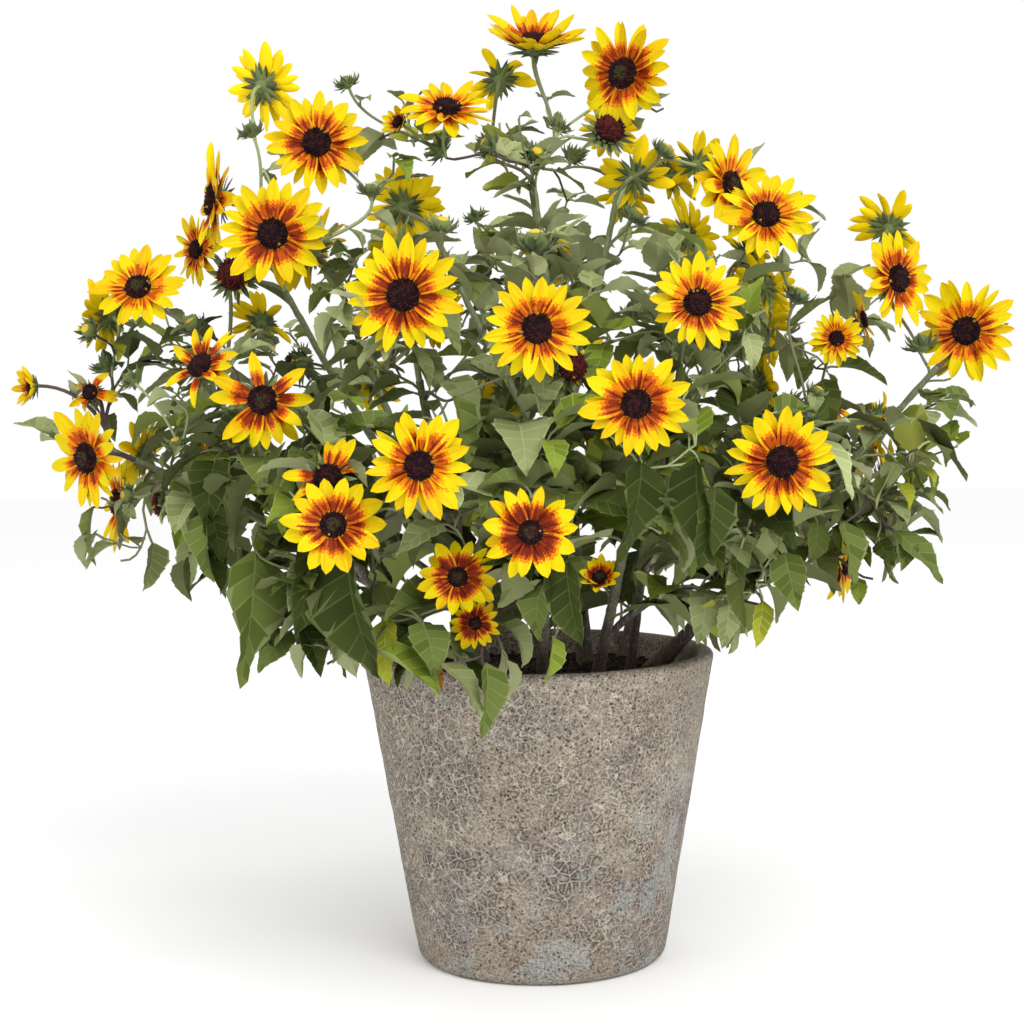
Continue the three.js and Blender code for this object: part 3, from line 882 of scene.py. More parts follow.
goals = [("head", i, head["place"] - head["way"] * head["disc"] * 0.95, head["way"])
         for i, head in enumerate(heads)]
goals += [("bud", i, bud["place"], outward(bud["place"], 0.9)) for i, bud in enumerate(buds)]
goals += [("leaf", i, leaf["place"], unit(leaf["way"] * (1, 1, 0.2) + (0, 0, 0.4)))
          for i, leaf in enumerate(big_leaves)]
goals += [("tip", i, tip, outward(tip, 0.5)) for i, tip in enumerate(tips)]
limb_places = np.array(forks["places"])
goals.sort(key=lambda goal: (goal[0] == "tip", float(np.min(np.linalg.norm(limb_places - goal[2], axis=1)))))
shoots = []
for kind, index, goal, arrival in goals:
    end_width = {"head": HEAD_STALK, "bud": BUD_STALK}.get(kind, TIP_STALK)
    if kind == "head":
        end_width *= 0.55 + 0.45 * heads[index]["width"] / 0.085
    own = index if kind == "head" else -1
    path, width = grow(goal, arrival, end_width, own)
    purple = 0.30 if kind == "tip" else 0.55 - 0.45 * float(np.clip((goal[2] - 0.4) / 0.25, 0, 1))
    colour = int(growth.choice(3, p=(purple, 0.55 * (1 - purple), 0.45 * (1 - purple))))
    shoots.append({"kind": kind, "index": index, "path": path, "width": width, "colour": colour})
    if kind == "head":
        heads[index]["stalk"] = path
    if kind == "bud":
        buds[index]["way"] = unit(path[-1] - path[-3])

shoot_skins = [plain_material("shoot_purple", SHOOT_PURPLE, 0.7, Specular_IOR_Level=0.3),
               plain_material("shoot_olive", SHOOT_OLIVE, 0.65, Specular_IOR_Level=0.3),
               plain_material("shoot_green", SHOOT_GREEN, 0.6, Specular_IOR_Level=0.35)]
twigs = tubes("side_shoots", [(shoot["path"], shoot["width"], shoot["colour"]) for shoot in shoots],
              SHOOT_SIDES, shoot_skins)
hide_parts(*("foliage_" + mass for mass in MASSES))
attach(twigs, "root")

# ---- Petals ----
# Each head has some twenty strap-shaped ray petals in two whorls round its disc: grooved, pointed,
# bright yellow, with a ring of brick-red and orange streaks over their inner part.
PETAL_STATIONS = (0, 0.07, 0.15, 0.23, 0.31, 0.39, 0.48, 0.58, 0.74, 0.89, 1)
PETAL_HALF_WIDTHS = (0.58, 0.68, 0.80, 0.89, 0.95, 0.99, 1.0, 0.99, 0.88, 0.58)
PETAL_COLUMNS = (-1, -0.66, -0.33, 0, 0.33, 0.66, 1)
PETAL_UNDER = (2, 4)
PETAL_GROOVES = (0.0, 0.038, -0.026, 0.026, -0.026, 0.038, 0.0)
PETAL_SLIDES = (-0.01, 0.030, -0.026, 0.034, -0.026, 0.030, -0.01)
PETAL_ASPECT = 0.345
PETAL_COUNT = 21
PETAL_PIECES = 2
# For each state of a head: its petals, how far they rise and bend in degrees, and their disorder.
PETAL_STATES = {
    "full": (PETAL_COUNT, 5, -6, 9), "cup": (PETAL_COUNT, 24, 8, 9), "half": (13, 38, 10, 9),
    "dark": (15, 5, -6, 9), "ragged": (12, 4, -14, 16), "torn": (8, 8, -50, 26), "seed": (2, 14, -60, 40),
}
# Each colour is the petal's own except the back, which is painted lighter than the face: a painted glow for
# the light that shines through the thin petal.
PETAL_COLOURS = {
    "bright": (0.665, 0.520, 0.0), "gold": (0.655, 0.455, 0.0), "deep": (0.640, 0.385, 0.0),
    "amber": (0.700, 0.330, 0.0),
    "orange": (0.700, 0.200, 0.0), "rust": (0.430, 0.070, 0.001), "brick": (0.210, 0.022, 0.001),
    "maroon": (0.130, 0.010, 0.002), "foot": (0.760, 0.330, 0.002), "back": (0.900, 0.650, 0.002),
    "back_foot": (0.720, 0.430, 0.006),
}
PETAL_HEAT_AT = (0.0, 0.12, 0.30, 0.42, 0.60, 0.72)
PETAL_HEAT = (0.34, 0.66, 0.70, 0.37, -0.33, -0.80)
PETAL_ZONES = (("amber", 0.10), ("orange", 0.27), ("rust", 0.48), ("brick", 0.72), ("maroon", 0.97))
GOLD_OVER, DEEP_OVER = 0.55, 0.97
WARM_BELOW = 0.46
PETAL_SEED = 5


def blade_faces(rows, columns, under):
    """The faces of a thin closed blade: its upper side in strips, its lower side in fewer strips
    between the same two edges, a closing face at the foot, and triangles at the tip."""
    across = columns + 1
    lower, tip = rows * across, rows * (across + under)
    faces = [[r * across + c, r * across + c + 1, (r + 1) * across + c + 1, (r + 1) * across + c]
             for r in range(rows - 1) for c in range(columns)]
    last = (rows - 1) * across
    faces += [[last + c, last + c + 1, tip] for c in range(columns)]
    upper_count = len(faces)
    below = [[r * across, *range(lower + r * under, lower + (r + 1) * under), r * across + columns]
             for r in range(rows)]
    faces += [[below[r][k], below[r + 1][k], below[r + 1][k + 1], below[r][k + 1]]
              for r in range(rows - 1) for k in range(under + 1)]
    faces += [[below[-1][k], tip, below[-1][k + 1]] for k in range(under + 1)]
    faces.append(below[0] + list(range(columns - 1, 0, -1)))
    return faces, upper_count


def blades(foot, along, up, length, width, bend, cup, twist, stations, half_widths, columns, under,
           thickness=0.0004, fold=2.0, grooves=0.0, slides=0.0, waves=0.0, edge=1.0):
    """The points of many thin blades at once, each starting at its foot and running along, its
    upper side up. They bend, cup and twist in radians; grooves and waves are shares of the width,
    and the lower side runs under the columns that under names, half ones lying between two."""
    count, rows, across = len(foot), len(stations) - 1, len(columns)
    stations, columns = np.array(stations), np.array(columns)
    bend, cup, twist, length, width = (np.broadcast_to(value, count)[:, None] * 1.0
                                       for value in (bend, cup, twist, length, width))
    up = unit(up - np.sum(up * along, axis=1, keepdims=True) * along)
    side = np.cross(along, up)
    middles = [np.array(foot)]
    for r in range(rows):
        angle = bend * (stations[r] + stations[r + 1]) / 2
        stride = (stations[r + 1] - stations[r]) * length
        middles.append(middles[-1] + stride * (np.cos(angle) * along + np.sin(angle) * up))
    middles = np.stack(middles, axis=1)
    angle = (bend * stations[:rows])[..., None]
    way = np.cos(angle) * along[:, None] + np.sin(angle) * up[:, None]
    lift = np.cos(angle) * up[:, None] - np.sin(angle) * along[:, None]
    spin = (twist * stations[:rows])[..., None]
    sideways = np.cos(spin) * side[:, None] + np.sin(spin) * lift
    lift = np.cos(spin) * lift - np.sin(spin) * side[:, None]
    half = (np.array(half_widths) * width / 2)[..., None] * np.broadcast_to(edge, (count, rows, across))
    raised = half * np.sin(cup)[..., None] * np.abs(columns) ** fold + np.asarray(grooves) * width[..., None]
    raised = raised + np.broadcast_to(waves, (count, rows, across)) * width[..., None]
    shifted = np.asarray(slides) * length[..., None] * np.ones((count, rows, across))
    shifted[:, 0] = 0
    upper = (middles[:, :rows, None] + (half * columns)[..., None] * sideways[:, :, None]
             + raised[..., None] * lift[:, :, None] + shifted[..., None] * way[:, :, None])
    one, other = np.floor(under).astype(int), np.ceil(under).astype(int)
    lower = (upper[:, :, one] + upper[:, :, other]) / 2 - thickness * lift[:, :, None]
    return np.concatenate([upper.reshape(count, -1, 3), lower.reshape(count, -1, 3), middles[:, -1:]], axis=1)


def frame_of(ways):
    """Two directions square to each of some ways, and to each other."""
    help_way = np.where(np.abs(ways[:, 2:]) < 0.9, (0.0, 0.0, 1.0), (0.0, 1.0, 0.0))
    side = unit(np.cross(help_way, ways))
    return side, np.cross(ways, side)


petal_chance = np.random.default_rng(PETAL_SEED)
petals = []
head_sides, head_tops = frame_of(head_ways)
for i, head in enumerate(heads):
    state, way, disc = head["state"], head["way"], head["disc"]
    count, rising, bending, spread = PETAL_STATES[state]
    head["rising"] = rising
    steps = PETAL_COUNT if state in ("ragged", "torn", "seed") else count
    places = petal_chance.permutation(steps)[:count] if count < steps else np.arange(count)
    for k in places:
        angle = 2 * math.pi * (k + petal_chance.normal(0, 0.13)) / steps
        out = math.cos(angle) * head_sides[i] + math.sin(angle) * head_tops[i]
        tilt = math.radians(rising + (5 if k % 2 else -4) + petal_chance.normal(0, spread * 0.6))
        length = (head["width"] / 2 - 0.8 * disc) * petal_chance.normal(0.985, 0.07)
        length *= 0.6 if state == "seed" else 1
        petals.append((
            head["place"] + out * disc * 0.80 + way * (-0.10 if k % 2 else -0.22) * disc,
            math.cos(tilt) * out + math.sin(tilt) * way,
            way + 0.15 * petal_chance.normal() * np.cross(out, way),
            length,
            PETAL_ASPECT * length * petal_chance.normal(1.0, 0.11) * (20 / steps) ** 0.6,
            math.radians(bending + petal_chance.normal(0, spread)),
            math.radians(petal_chance.uniform(4, 26)),
            math.radians(petal_chance.normal(0, spread + 4)),
            (0.30 if state == "dark" else 0.0) + 0.10 * math.sin(7 * i)
            + 0.6 * max(0, WARM_BELOW - head["place"][2]) + petal_chance.normal(0, 0.03),
            i))
*petals, warmth, petal_heads = (np.array(values) for values in zip(*petals))
petal_count = len(petal_heads)

petal_rows, petal_strips = len(PETAL_STATIONS) - 1, len(PETAL_COLUMNS) - 1
petal_faces, petal_upper = blade_faces(petal_rows, petal_strips, len(PETAL_UNDER))
station_middles = (np.array(PETAL_STATIONS[:-1]) + np.array(PETAL_STATIONS[1:])) / 2
strip_middles = (np.array(PETAL_COLUMNS[:-1]) + np.array(PETAL_COLUMNS[1:])) / 2
heat = np.interp(station_middles, PETAL_HEAT_AT, PETAL_HEAT)[:, None] - 0.20 * (np.abs(strip_middles) > 0.6)
heat = heat[None] + petal_chance.normal(0, 0.17, (petal_count, 1, petal_strips)) \
    + petal_chance.normal(0, 0.02, (petal_count, petal_rows, petal_strips)) + warmth[:, None, None]
petal_names = list(PETAL_COLOURS)
draw = petal_chance.random((petal_count, 1, 1)) + petal_chance.normal(0, 0.16, (petal_count, 1, petal_strips))
zones = np.where(draw < GOLD_OVER, petal_names.index("bright"), petal_names.index("gold"))
zones = zones * np.ones(heat.shape, int)
zones[np.broadcast_to(draw > DEEP_OVER, zones.shape)] = petal_names.index("deep")
for name, least in PETAL_ZONES:
    zones[heat > least] = petal_names.index(name)
zones[:, 0][heat[:, 0] < 0.6] = petal_names.index("foot")
# The lower sides of the petals take the back colour, with its painted glow of light shining through them.
under = np.full(len(petal_faces) - petal_upper, petal_names.index("back"))
under[:2 * (len(PETAL_UNDER) + 1)] = petal_names.index("back_foot")
finishes = np.hstack([zones.reshape(petal_count, -1), np.broadcast_to(under, (petal_count, len(under)))])
petal_points = blades(*petals, PETAL_STATIONS, PETAL_HALF_WIDTHS, PETAL_COLUMNS, PETAL_UNDER,
                      grooves=PETAL_GROOVES, slides=PETAL_SLIDES)
petal_skins = [plain_material("petal_" + name, colour, 0.6, Specular_IOR_Level=0.12)
               for name, colour in PETAL_COLOURS.items()]
for number in range(PETAL_PIECES):
    mine = petal_heads % PETAL_PIECES == number
    shapes = [(petal_points[mine], petal_faces, finishes[mine])]
    piece = join_shapes(f"petals_{number + 1}", shapes, petal_skins)
    smooth(piece, 50)
    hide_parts(*("foliage_" + mass for mass in MASSES))
    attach(piece, "root")

# ---- Discs ----
# The dark domed middle of each head, packed with florets in spirals: purple-brown, standing taller
# round the edge where they have opened, with a little pollen, and greenish in the middle if young.
DISC_RISE = 0.42
DISC_RINGS = 5
DISC_SIDES = 16
FLORET_COUNT = 105
FLORET_SIDES = 5
FLORET_WIDTH = 0.135
GOLDEN_ANGLE = math.radians(137.508)
DISC_COLOURS = {
    "dark": (0.013, 0.005, 0.008), "brown": (0.040, 0.010, 0.009), "red": (0.100, 0.018, 0.014),
    "green": (0.036, 0.040, 0.014), "pollen": (0.420, 0.230, 0.030),
}
OPEN_FLORETS_OUTSIDE = 0.62
POLLEN_OUTSIDE = 0.72
SEED_SWELL = 1.6
DISC_SEED = 8


def turned_solid(profile, sides):
    """The points of a solid of revolution about its own axis, as (side, top, axis) shares, and its
    faces. The profile runs from its rim at the back to its rim at the front, both closed flat."""
    angles = 2 * math.pi * np.arange(sides) / sides
    points = np.array([[radius * math.cos(a), radius * math.sin(a), level]
                       for radius, level in profile for a in angles])
    last = (len(profile) - 1) * sides
    faces = [[start + s, start + (s + 1) % sides, start + sides + (s + 1) % sides, start + sides + s]
             for start in range(0, last, sides) for s in range(sides)]
    return points, faces + [list(range(sides))[::-1], list(range(last, last + sides))]


def placed(shape, where, sides, tops, ways, sizes):
    """A shape copied to each place, along that place's own three directions and to its size."""
    size = np.asarray(sizes).reshape(-1, 1, 1)
    return where[:, None] + size * (shape[..., :1] * sides[:, None] + shape[..., 1:2] * tops[:, None]
                                    + shape[..., 2:] * ways[:, None])


disc_chance = np.random.default_rng(DISC_SEED)
disc_radii = np.array([head["disc"] for head in heads])
states = np.array([head["state"] for head in heads])
dome_angles = np.linspace(0, 0.95 * math.pi / 2, DISC_RINGS)
dome_profile = [(0.93, -0.25)] + [(math.cos(a), DISC_RISE * math.sin(a)) for a in dome_angles]
dome, dome_faces = turned_solid(dome_profile, DISC_SIDES)
swell = np.where(states == "seed", SEED_SWELL, 1.0)[:, None, None] ** np.array([0, 0, 1])
head_stand = (head_places, head_sides, head_tops, head_ways, disc_radii)
disc_shapes = [(placed(dome * swell, *head_stand), dome_faces, 0)]

order = np.arange(FLORET_COUNT) + 0.5
spread = np.sqrt(order / FLORET_COUNT) * 0.98
spiral = np.stack([spread * np.cos(order * GOLDEN_ANGLE), spread * np.sin(order * GOLDEN_ANGLE),
                   DISC_RISE * np.sqrt(1 - spread ** 2)], axis=1)
leaning = unit(spiral * (1, 1, 1 / DISC_RISE ** 2))
floret_angles = 2 * math.pi * np.arange(FLORET_SIDES) / FLORET_SIDES
floret = np.array([[math.cos(a), math.sin(a), 0] for a in floret_angles] + [[0, 0, 1]])
floret_faces = [[s, (s + 1) % FLORET_SIDES, FLORET_SIDES] for s in range(FLORET_SIDES)] \
    + [list(range(FLORET_SIDES))[::-1]]
names = list(DISC_COLOURS)
for i, head in enumerate(heads):
    local = spiral * swell[i][0]
    lean_side, lean_top = frame_of(leaning)
    tall = np.where(spread > OPEN_FLORETS_OUTSIDE, 0.24, 0.13) * disc_chance.uniform(0.7, 1.3, FLORET_COUNT)
    cone = floret[None] * np.stack([np.full(FLORET_COUNT, FLORET_WIDTH)] * 2 + [tall], axis=1)[:, None]
    cones = local[:, None] * 0.97 + cone[..., :1] * lean_side[:, None] + cone[..., 1:2] * lean_top[:, None] \
        + cone[..., 2:] * leaning[:, None]
    where = head["place"] + disc_radii[i] * (cones[..., :1] * head_sides[i] + cones[..., 1:2] * head_tops[i]
                                             + cones[..., 2:] * head_ways[i])
    draw = disc_chance.random(FLORET_COUNT)
    hue = np.where(draw < 0.55, names.index("dark"), names.index("brown"))
    if head["state"] == "seed":
        hue = np.where(draw < 0.35, names.index("brown"), names.index("red"))
    elif i % 3 == 0 or head["state"] == "dark":
        hue = np.where((spread < 0.5) & (draw < 0.6), names.index("green"), hue)
    hue = np.where((spread > POLLEN_OUTSIDE) & (draw > 0.975), names.index("pollen"), hue)
    disc_shapes.append((where, floret_faces, hue[:, None] * np.ones(len(floret_faces), int)))
disc_skins = [plain_material("floret_" + name, colour, 0.75, Specular_IOR_Level=0.12)
              for name, colour in DISC_COLOURS.items()]
discs = join_shapes("flower_discs", disc_shapes, disc_skins)
smooth(discs, 35)
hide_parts(*("foliage_" + mass for mass in MASSES))
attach(discs, "root")

# ---- Green cups and buds ----
# Behind each head sits a green cup where the stalk widens, set about with narrow pointed bracts.
# An unopened bud is the same cup with its bracts closed over it.
CUP_SIDES = 12
CUP_PROFILE = ((0.16, -1.02), (0.34, -0.86), (0.72, -0.62), (0.96, -0.30), (1.0, -0.10), (0.90, 0.0))
BRACT_STATIONS = (0, 0.25, 0.55, 0.8, 1)
BRACT_HALF_WIDTHS = (0.75, 1.0, 0.72, 0.34)
BRACT_COLUMNS = (-1, 0, 1)
BRACT_ASPECT = 0.34
BRACT_CUP = 0.3
DARK_BRACT_SHARE = 0.4
BRACT_WHORLS = ((0.55, -0.72, 1.25, -14, 12), (0.84, -0.42, 1.05, 6, 13))
BUD_WHORLS = ((0.50, 0.05, 1.35, 62, 10), (0.40, 0.02, 1.55, 78, 9), (0.62, 0.0, 0.95, 18, 8))
BUD_PROFILE = ((0.10, -0.28), (0.45, -0.10), (0.72, 0.25), (0.70, 0.70), (0.45, 1.05), (0.12, 1.18))
CUP_COLOURS = {
    "cup": (0.140, 0.180, 0.050), "bract": (0.130, 0.170, 0.050), "bract_dark": (0.062, 0.085, 0.026),
    "bract_tip": (0.220, 0.255, 0.095), "petal_tip": (0.620, 0.430, 0.010),
}
BRACT_SEED = 17

bract_chance = np.random.default_rng(BRACT_SEED)
cup_names = list(CUP_COLOURS)
cup, cup_faces = turned_solid(CUP_PROFILE, CUP_SIDES)
cup_shapes = [(placed(cup, *head_stand), cup_faces, 0)]
bud_ways = np.array([bud["way"] for bud in buds])
bud_stand = (np.array([bud["place"] for bud in buds]), *frame_of(bud_ways), bud_ways,
             np.array([bud["width"] / 2 for bud in buds]))
bud_core, bud_faces = turned_solid(BUD_PROFILE, CUP_SIDES)
core_finish = np.zeros(len(bud_faces), int)
core_finish[CUP_SIDES * 4:] = cup_names.index("petal_tip")
cup_shapes.append((placed(bud_core, *bud_stand), bud_faces, core_finish))
bract_rows, bract_strips = len(BRACT_STATIONS) - 1, len(BRACT_COLUMNS) - 1
bract_faces, bract_upper = blade_faces(bract_rows, bract_strips, 1)
bract_finish = np.full(len(bract_faces), cup_names.index("bract"))
bract_finish[bract_upper - 2 * bract_strips:bract_upper] = cup_names.index("bract_tip")
head_risings = np.array([head["rising"] - 9 for head in heads])
for (places, sides, tops, ways, radii), risings, whorls in (
        (head_stand, head_risings, BRACT_WHORLS), (bud_stand, np.full(len(buds), 12), BUD_WHORLS)):
    for out_by, level, long, bending, count in whorls:
        for k in range(count):
            angle = 2 * math.pi * (k + 0.35 * bract_chance.random(len(places)) + 0.3 * level) / count
            out = np.cos(angle)[:, None] * sides + np.sin(angle)[:, None] * tops
            slant = np.radians(bract_chance.normal(risings, 7))[:, None]
            foot = places + radii[:, None] * (out_by * out + level * ways)
            along = np.cos(slant) * out + np.sin(slant) * ways
            length = long * radii * bract_chance.uniform(0.8, 1.2, len(places))
            points = blades(foot, along, ways - out * 0.2, length, BRACT_ASPECT * length,
                            np.radians(bract_chance.normal(bending, 10, len(places))), BRACT_CUP, 0.0,
                            BRACT_STATIONS, BRACT_HALF_WIDTHS, BRACT_COLUMNS, (1,))
            is_dark = bract_chance.random((len(places), 1)) < DARK_BRACT_SHARE
            finish = np.where(is_dark, cup_names.index("bract_dark"), bract_finish)
            cup_shapes.append((points, bract_faces, finish))
cup_skins = [plain_material("calyx_" + name, colour, 0.7, Specular_IOR_Level=0.25, Sheen_Weight=0.2)
             for name, colour in CUP_COLOURS.items()]
cups = join_shapes("green_cups_and_buds", cup_shapes, cup_skins)
smooth(cups, 50)
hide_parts(*("foliage_" + mass for mass in MASSES))
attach(cups, "root")

# ---- Leaves ----
# Pointed oval leaves on short stalks spiral up every shoot, folded along a pale midrib, with pale
# side veins that run out to shallow teeth. They are large and drooping low down and small near the
# heads. Each spray has a green of its own, and the lower side is paler.
LEAF_VEINS = (0.15, 0.30, 0.45, 0.60, 0.75)
VEIN_WIDTH = 0.014
LEAF_OUTLINE_AT = (0, 0.05, 0.12, 0.22, 0.32, 0.44, 0.56, 0.68, 0.80, 0.90, 1)
LEAF_OUTLINE = (0.09, 0.52, 0.84, 0.98, 1.0, 0.93, 0.78, 0.58, 0.36, 0.18, 0)
LEAF_COLUMNS = (-1, -0.94, -0.035, 0.035, 0.94, 1)
LEAF_UNDER = (2.5,)
LEAF_SWEEP = 0.15
LEAF_TEETH = 0.05
LEAF_RIPPLE = 0.055
LEAF_ASPECT = 0.58
LEAF_THICKNESS = 0.0009
BLOTCH_SHARE = 0.35
LEAF_LONG_LOW = 0.086
LEAF_LONG_HIGH = 0.044
LEAF_SMALLER_OUTSIDE = 0.24
LEAF_SIZES = (0.6, 1.15)
SKIRT_TOP = 0.33
HIGH_RISE = 0.30
SIDES_FROM = 0.20
SIDES_RISE = 0.15
BESIDE_POT = 0.004
ABOVE_LIP = 0.006
BELOW_LIP = 0.03
COMPOST_LEAVES = (0.85, 0.40)
SPRAY_SHARE = 0.75
LEAF_SPACING = 0.019
LIMB_LEAF_SPACING = 0.022
LEAF_STALK_SHARE = 0.24
LEAF_STALK_SIDES = 4
LEAF_STALK_RADII = np.array([0.0016, 0.0013, 0.0011, 0.0007])
BARE_STALK = (0.045, 0.100)
LEAF_OVERHANG = (0.016, 0.008)
LEAF_CEILING = 0.735
TIP_ROSETTE = 3
LEAF_PIECES = 2
# The pale greens are painted light, for the strong light falling on and through the upper leaves. The dark
# greens are partly the leaves' own colour and partly painted shade for the lower crown.
LEAF_COLOURS = {
    "grey": ((0.235, 0.268, 0.110), (0.175, 0.208, 0.076), (0.295, 0.328, 0.150), (0.300, 0.325, 0.160)),
    "mid": ((0.120, 0.154, 0.036), (0.085, 0.114, 0.022), (0.165, 0.198, 0.060), (0.200, 0.226, 0.090)),
    "dark": ((0.040, 0.055, 0.010), (0.028, 0.040, 0.007), (0.068, 0.088, 0.024), (0.105, 0.122, 0.044)),
    "fresh": ((0.185, 0.245, 0.028), (0.130, 0.180, 0.018), (0.245, 0.300, 0.060), (0.240, 0.280, 0.075)),
    "yellowing": ((0.330, 0.350, 0.025), (0.220, 0.260, 0.020), (0.420, 0.440, 0.090), (0.310, 0.330, 0.060)),
    "pale_painted_light": ((0.360, 0.400, 0.180), (0.290, 0.330, 0.135), (0.460, 0.500, 0.260), (0.400, 0.430, 0.220)),
    "dry": ((0.420, 0.170, 0.030), (0.300, 0.110, 0.020), (0.480, 0.230, 0.060), (0.360, 0.150, 0.040)),
}
LEAF_PARTS = ("blade", "blotch", "vein", "under")
LEAF_SEED = 31

leaf_chance = np.random.default_rng(LEAF_SEED)
leaf_names = list(LEAF_COLOURS)
leaves = []
leaf_stalks = []


def highness(z):
    """0 in the skirt of the crown, 1 in its upper part, and a straight rise between them."""
    return min(max((z - SKIRT_TOP) / HIGH_RISE, 0), 1)


def keep_leaf(foot, along, up, long, bend, hue):
    leaves.append((foot, along, up, long, long * LEAF_ASPECT * leaf_chance.normal(1, 0.1), bend,
                   leaf_chance.uniform(0.10, 0.62), leaf_chance.normal(0, 0.35), hue))


def may_stand(spots):
    """Whether a leaf's places are near the crown or over the compost, and clear of the pot."""
    for spot in spots:
        from_axis, high = math.hypot(spot[0], spot[1]), highness(spot[2])
        on_pot = from_axis < RIM_RADIUS + BESIDE_POT and spot[2] < POT_HEIGHT + ABOVE_LIP
        over_compost = from_axis < COMPOST_LEAVES[0] * RIM_RADIUS and spot[2] < COMPOST_LEAVES[1]
        overhang = LEAF_OVERHANG[0] * (1 - high) + LEAF_OVERHANG[1] * high
        if on_pot or not POT_HEIGHT - BELOW_LIP <= spot[2] <= LEAF_CEILING:
            return False
        if outside_by(spot) > overhang and not over_compost:
            return False
    return True


def add_leaf(start, shoot_way, out, size, hue):
    """Set one leaf on a shoot, if it stays near the crown and off the pot and the flower faces."""
    high = highness(start[2])
    for attempt in range(3):
        long = size * (1, 0.85, 0.65)[attempt]
        foot = start + unit(0.75 * shoot_way + out + (0, 0, 0.15)) * long * LEAF_STALK_SHARE
        along = unit(0.35 * shoot_way + out + (0, 0, leaf_chance.normal(0.35 * high - 0.20, 0.22)))
        bend = -math.radians(leaf_chance.uniform(30 - 20 * high, 100 - 35 * high))
        up = unit(np.array([0, 0, 1.0]) - along[2] * along + 1e-6)
        spots = [foot + long * share * (math.cos(bend * share / 2) * along + math.sin(bend * share / 2) * up)
                 for share in (0.25, 0.5, 0.75, 1.0)]
        if not may_stand(spots[1::2]):
            out = unit(out + 0.9 * leaf_chance.normal(size=3) * (1, 1, 0.3))
            continue
        if hides_a_face([foot] + spots, 1.2):
            out = unit(-out + 0.3 * leaf_chance.normal(size=3))
            continue
        keep_leaf(foot, along, up + leaf_chance.normal(0, 0.35) * np.cross(along, up), long, bend, hue)
        joint = start + 0.5 * (foot - start) + 0.1 * long * LEAF_STALK_SHARE * up
        stalk = np.array([start, joint, foot, foot + along * long * 0.05])
        leaf_stalks.append((stalk, LEAF_STALK_RADII * (0.6 + 5 * long), 1 + hue % 2))
        return


def leaf_length(place):
    """Leaves are smaller toward the top of the crown and toward its sides."""
    usual = LEAF_LONG_LOW + (LEAF_LONG_HIGH - LEAF_LONG_LOW) * highness(place[2])
    outside = min(max((math.hypot(place[0], place[1]) - SIDES_FROM) / SIDES_RISE, 0), 1)
    return usual * (1 - LEAF_SMALLER_OUTSIDE * outside) * leaf_chance.uniform(*LEAF_SIZES)


def spray_hue(z):
    """The green of one spray, by its height: darker greens are likelier low down, partly the leaves' own and
    partly painted shade, and paler, greyer ones are likelier high up, partly the leaves' own and partly
    painted light.
    """
    high = highness(z)
    chances = np.array([0.22 + 0.14 * high, 0.34 - 0.16 * high, 0.34 - 0.30 * high, 0.08 + 0.12 * high, 0.02,
                        0.34 * high ** 2])
    return int(leaf_chance.choice(6, p=chances / chances.sum()))


def leaf_up(path, spacing, bare_foot, bare_tip):
    """Set leaves up a shoot in a spiral, further apart high up."""
    lengths = np.concatenate([[0], np.cumsum(np.linalg.norm(np.diff(path, axis=0), axis=1))])
    at, turn = bare_foot + spacing * leaf_chance.random(), 2 * math.pi * leaf_chance.random()
    hue = spray_hue(path[-1][2])
    while at < lengths[-1] - bare_tip:
        i = int(np.searchsorted(lengths, at)) - 1
        way = unit(path[i + 1] - path[i])
        side, top = frame_of(way[None])
        out = math.cos(turn) * side[0] + math.sin(turn) * top[0]
        near_end = 1 - 0.45 * max(0, 1 - (lengths[-1] - at) / 0.06)
        add_leaf(path[i], way, out, leaf_length(path[i]) * near_end,
                 hue if leaf_chance.random() < SPRAY_SHARE else spray_hue(path[i][2]))
        at += spacing * leaf_chance.uniform(0.75, 1.25) * (1 + 0.8 * highness(path[i][2]))
        turn += GOLDEN_ANGLE
    return hue


for path, widths in skeleton:
    leaf_up(path[path[:, 2] > POT_HEIGHT + GREENS_OVER_POT], LIMB_LEAF_SPACING, 0.005, 0.0)
for shoot in shoots:
    path, kind = shoot["path"], shoot["kind"]
    if kind == "leaf":
        leaf = big_leaves[shoot["index"]]
        hue = leaf_names.index(leaf["green"])
        keep_leaf(path[-1], leaf["way"], np.array([0.25 * (-1) ** shoot["index"], 0, 1.0]), leaf["length"],
                  -math.radians(leaf_chance.uniform(8, 40)), hue)
        continue
    high = highness(path[-1][2])
    bare_tip = {"head": BARE_STALK[0] * (1 - high) + BARE_STALK[1] * high, "bud": 0.012, "tip": 0.0}[kind]
    hue = leaf_up(path, LEAF_SPACING, 0.012, bare_tip)
    if kind != "head":
        way = unit(path[-1] - path[-3])
        side, top = frame_of(way[None])
        for k in range(TIP_ROSETTE):
            angle = GOLDEN_ANGLE * k * 1.9 + path[-1][0] * 90
            out = math.cos(angle) * side[0] + math.sin(angle) * top[0]
            size = leaf_length(path[-1]) * (0.9 if kind == "tip" else 0.5)
            add_leaf(path[-1], way, unit(out + 0.5 * way), size, hue)
*leaves, leaf_hues = (np.array(values) for values in zip(*leaves))
leaf_count = len(leaf_hues)

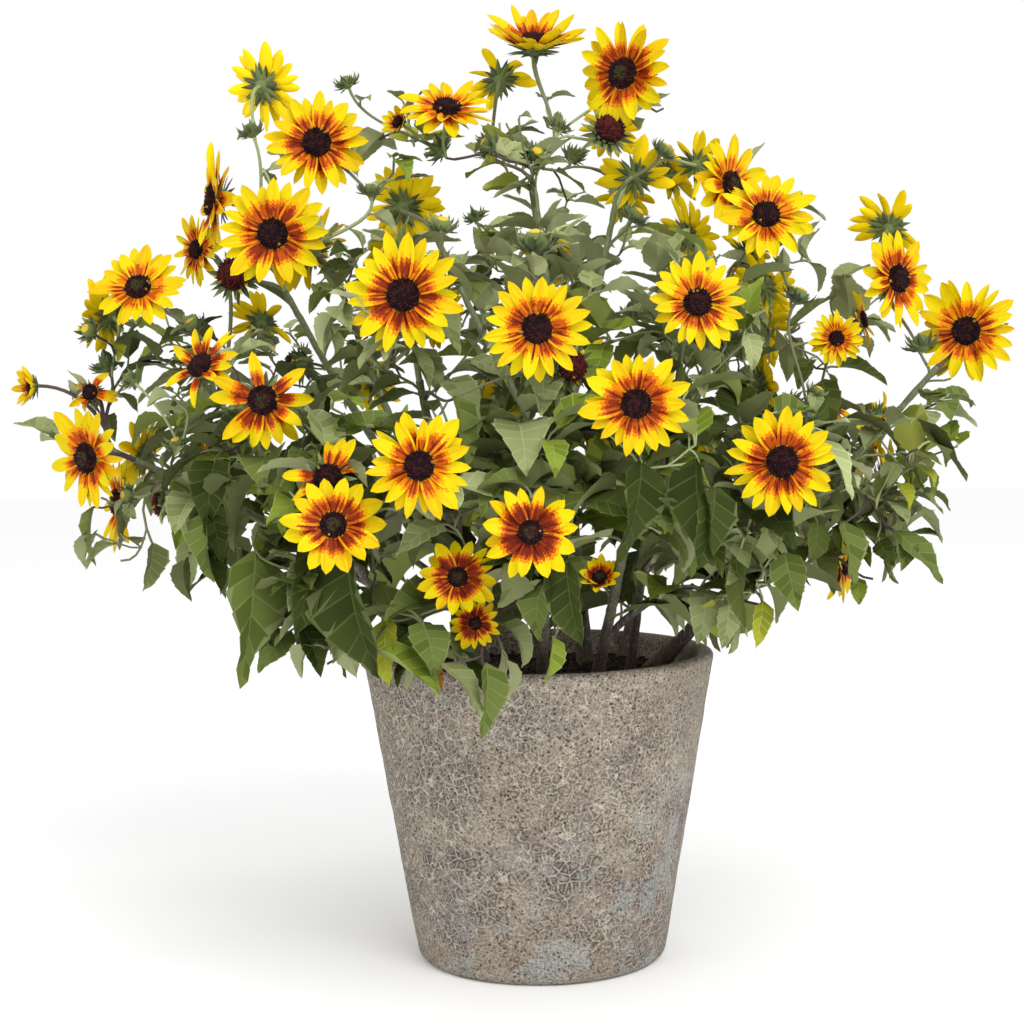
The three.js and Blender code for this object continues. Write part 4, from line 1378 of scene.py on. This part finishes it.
leaf_stations = np.array([0, 0.06, *(at for vein in LEAF_VEINS for at in (vein, vein + VEIN_WIDTH)), 0.90, 1])
leaf_rows, leaf_strips = len(leaf_stations) - 1, len(LEAF_COLUMNS) - 1
leaf_faces, leaf_upper = blade_faces(leaf_rows, leaf_strips, len(LEAF_UNDER))
row_starts = leaf_stations[:-1]
sweep = LEAF_SWEEP * np.minimum(1, np.minimum(row_starts / 0.12, (1 - row_starts) / 0.4))
leaf_half_widths = np.interp(row_starts + sweep, LEAF_OUTLINE_AT, LEAF_OUTLINE)
teeth = np.ones((leaf_rows, leaf_strips + 1))
teeth[2:-1:2, [0, -1]] -= LEAF_TEETH
teeth[3:-1:2, [0, -1]] += LEAF_TEETH
phase = leaf_chance.uniform(0, 2 * math.pi, (leaf_count, 1, 1))
phase = phase + 9.5 * row_starts[:, None] + 1.7 * (np.array(LEAF_COLUMNS) < 0)
ripple = LEAF_RIPPLE * np.sin(phase) * np.abs(LEAF_COLUMNS)
leaf_points = blades(*leaves, leaf_stations, leaf_half_widths, LEAF_COLUMNS, LEAF_UNDER, LEAF_THICKNESS,
                     fold=1.0, slides=sweep[:, None] * np.abs(LEAF_COLUMNS), waves=ripple, edge=teeth[None])
part_of = (leaf_chance.random((leaf_count, len(leaf_faces))) < BLOTCH_SHARE).astype(int)
for vein_row in range(2, leaf_rows - 1, 2):
    part_of[:, vein_row * leaf_strips:(vein_row + 1) * leaf_strips] = 2
# The midrib strip and the two outer strips along the margins take the pale vein colour; along the margins it
# is a painted rim light on the hairy edge.
for strip in (0, leaf_strips // 2, leaf_strips - 1):
    part_of[:, strip:leaf_upper:leaf_strips] = 2
part_of[:, leaf_upper:] = 3
leaf_finish = len(LEAF_PARTS) * leaf_hues[:, None] + part_of
leaf_skins = [plain_material(f"leaf_{name}_{part}", colour, 0.65, Specular_IOR_Level=0.08)
              for name, colours in LEAF_COLOURS.items() for part, colour in zip(LEAF_PARTS, colours)]
for number in range(LEAF_PIECES):
    mine = np.arange(leaf_count) % LEAF_PIECES == number
    shapes = [(leaf_points[mine], leaf_faces, leaf_finish[mine])]
    piece = join_shapes(f"leaves_{number + 1}", shapes, leaf_skins)
    smooth(piece, 24)
    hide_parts(*("foliage_" + mass for mass in MASSES))
    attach(piece, "root")
petioles = tubes("leaf_stalks", leaf_stalks, LEAF_STALK_SIDES, shoot_skins)
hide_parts(*("foliage_" + mass for mass in MASSES))
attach(petioles, "root")
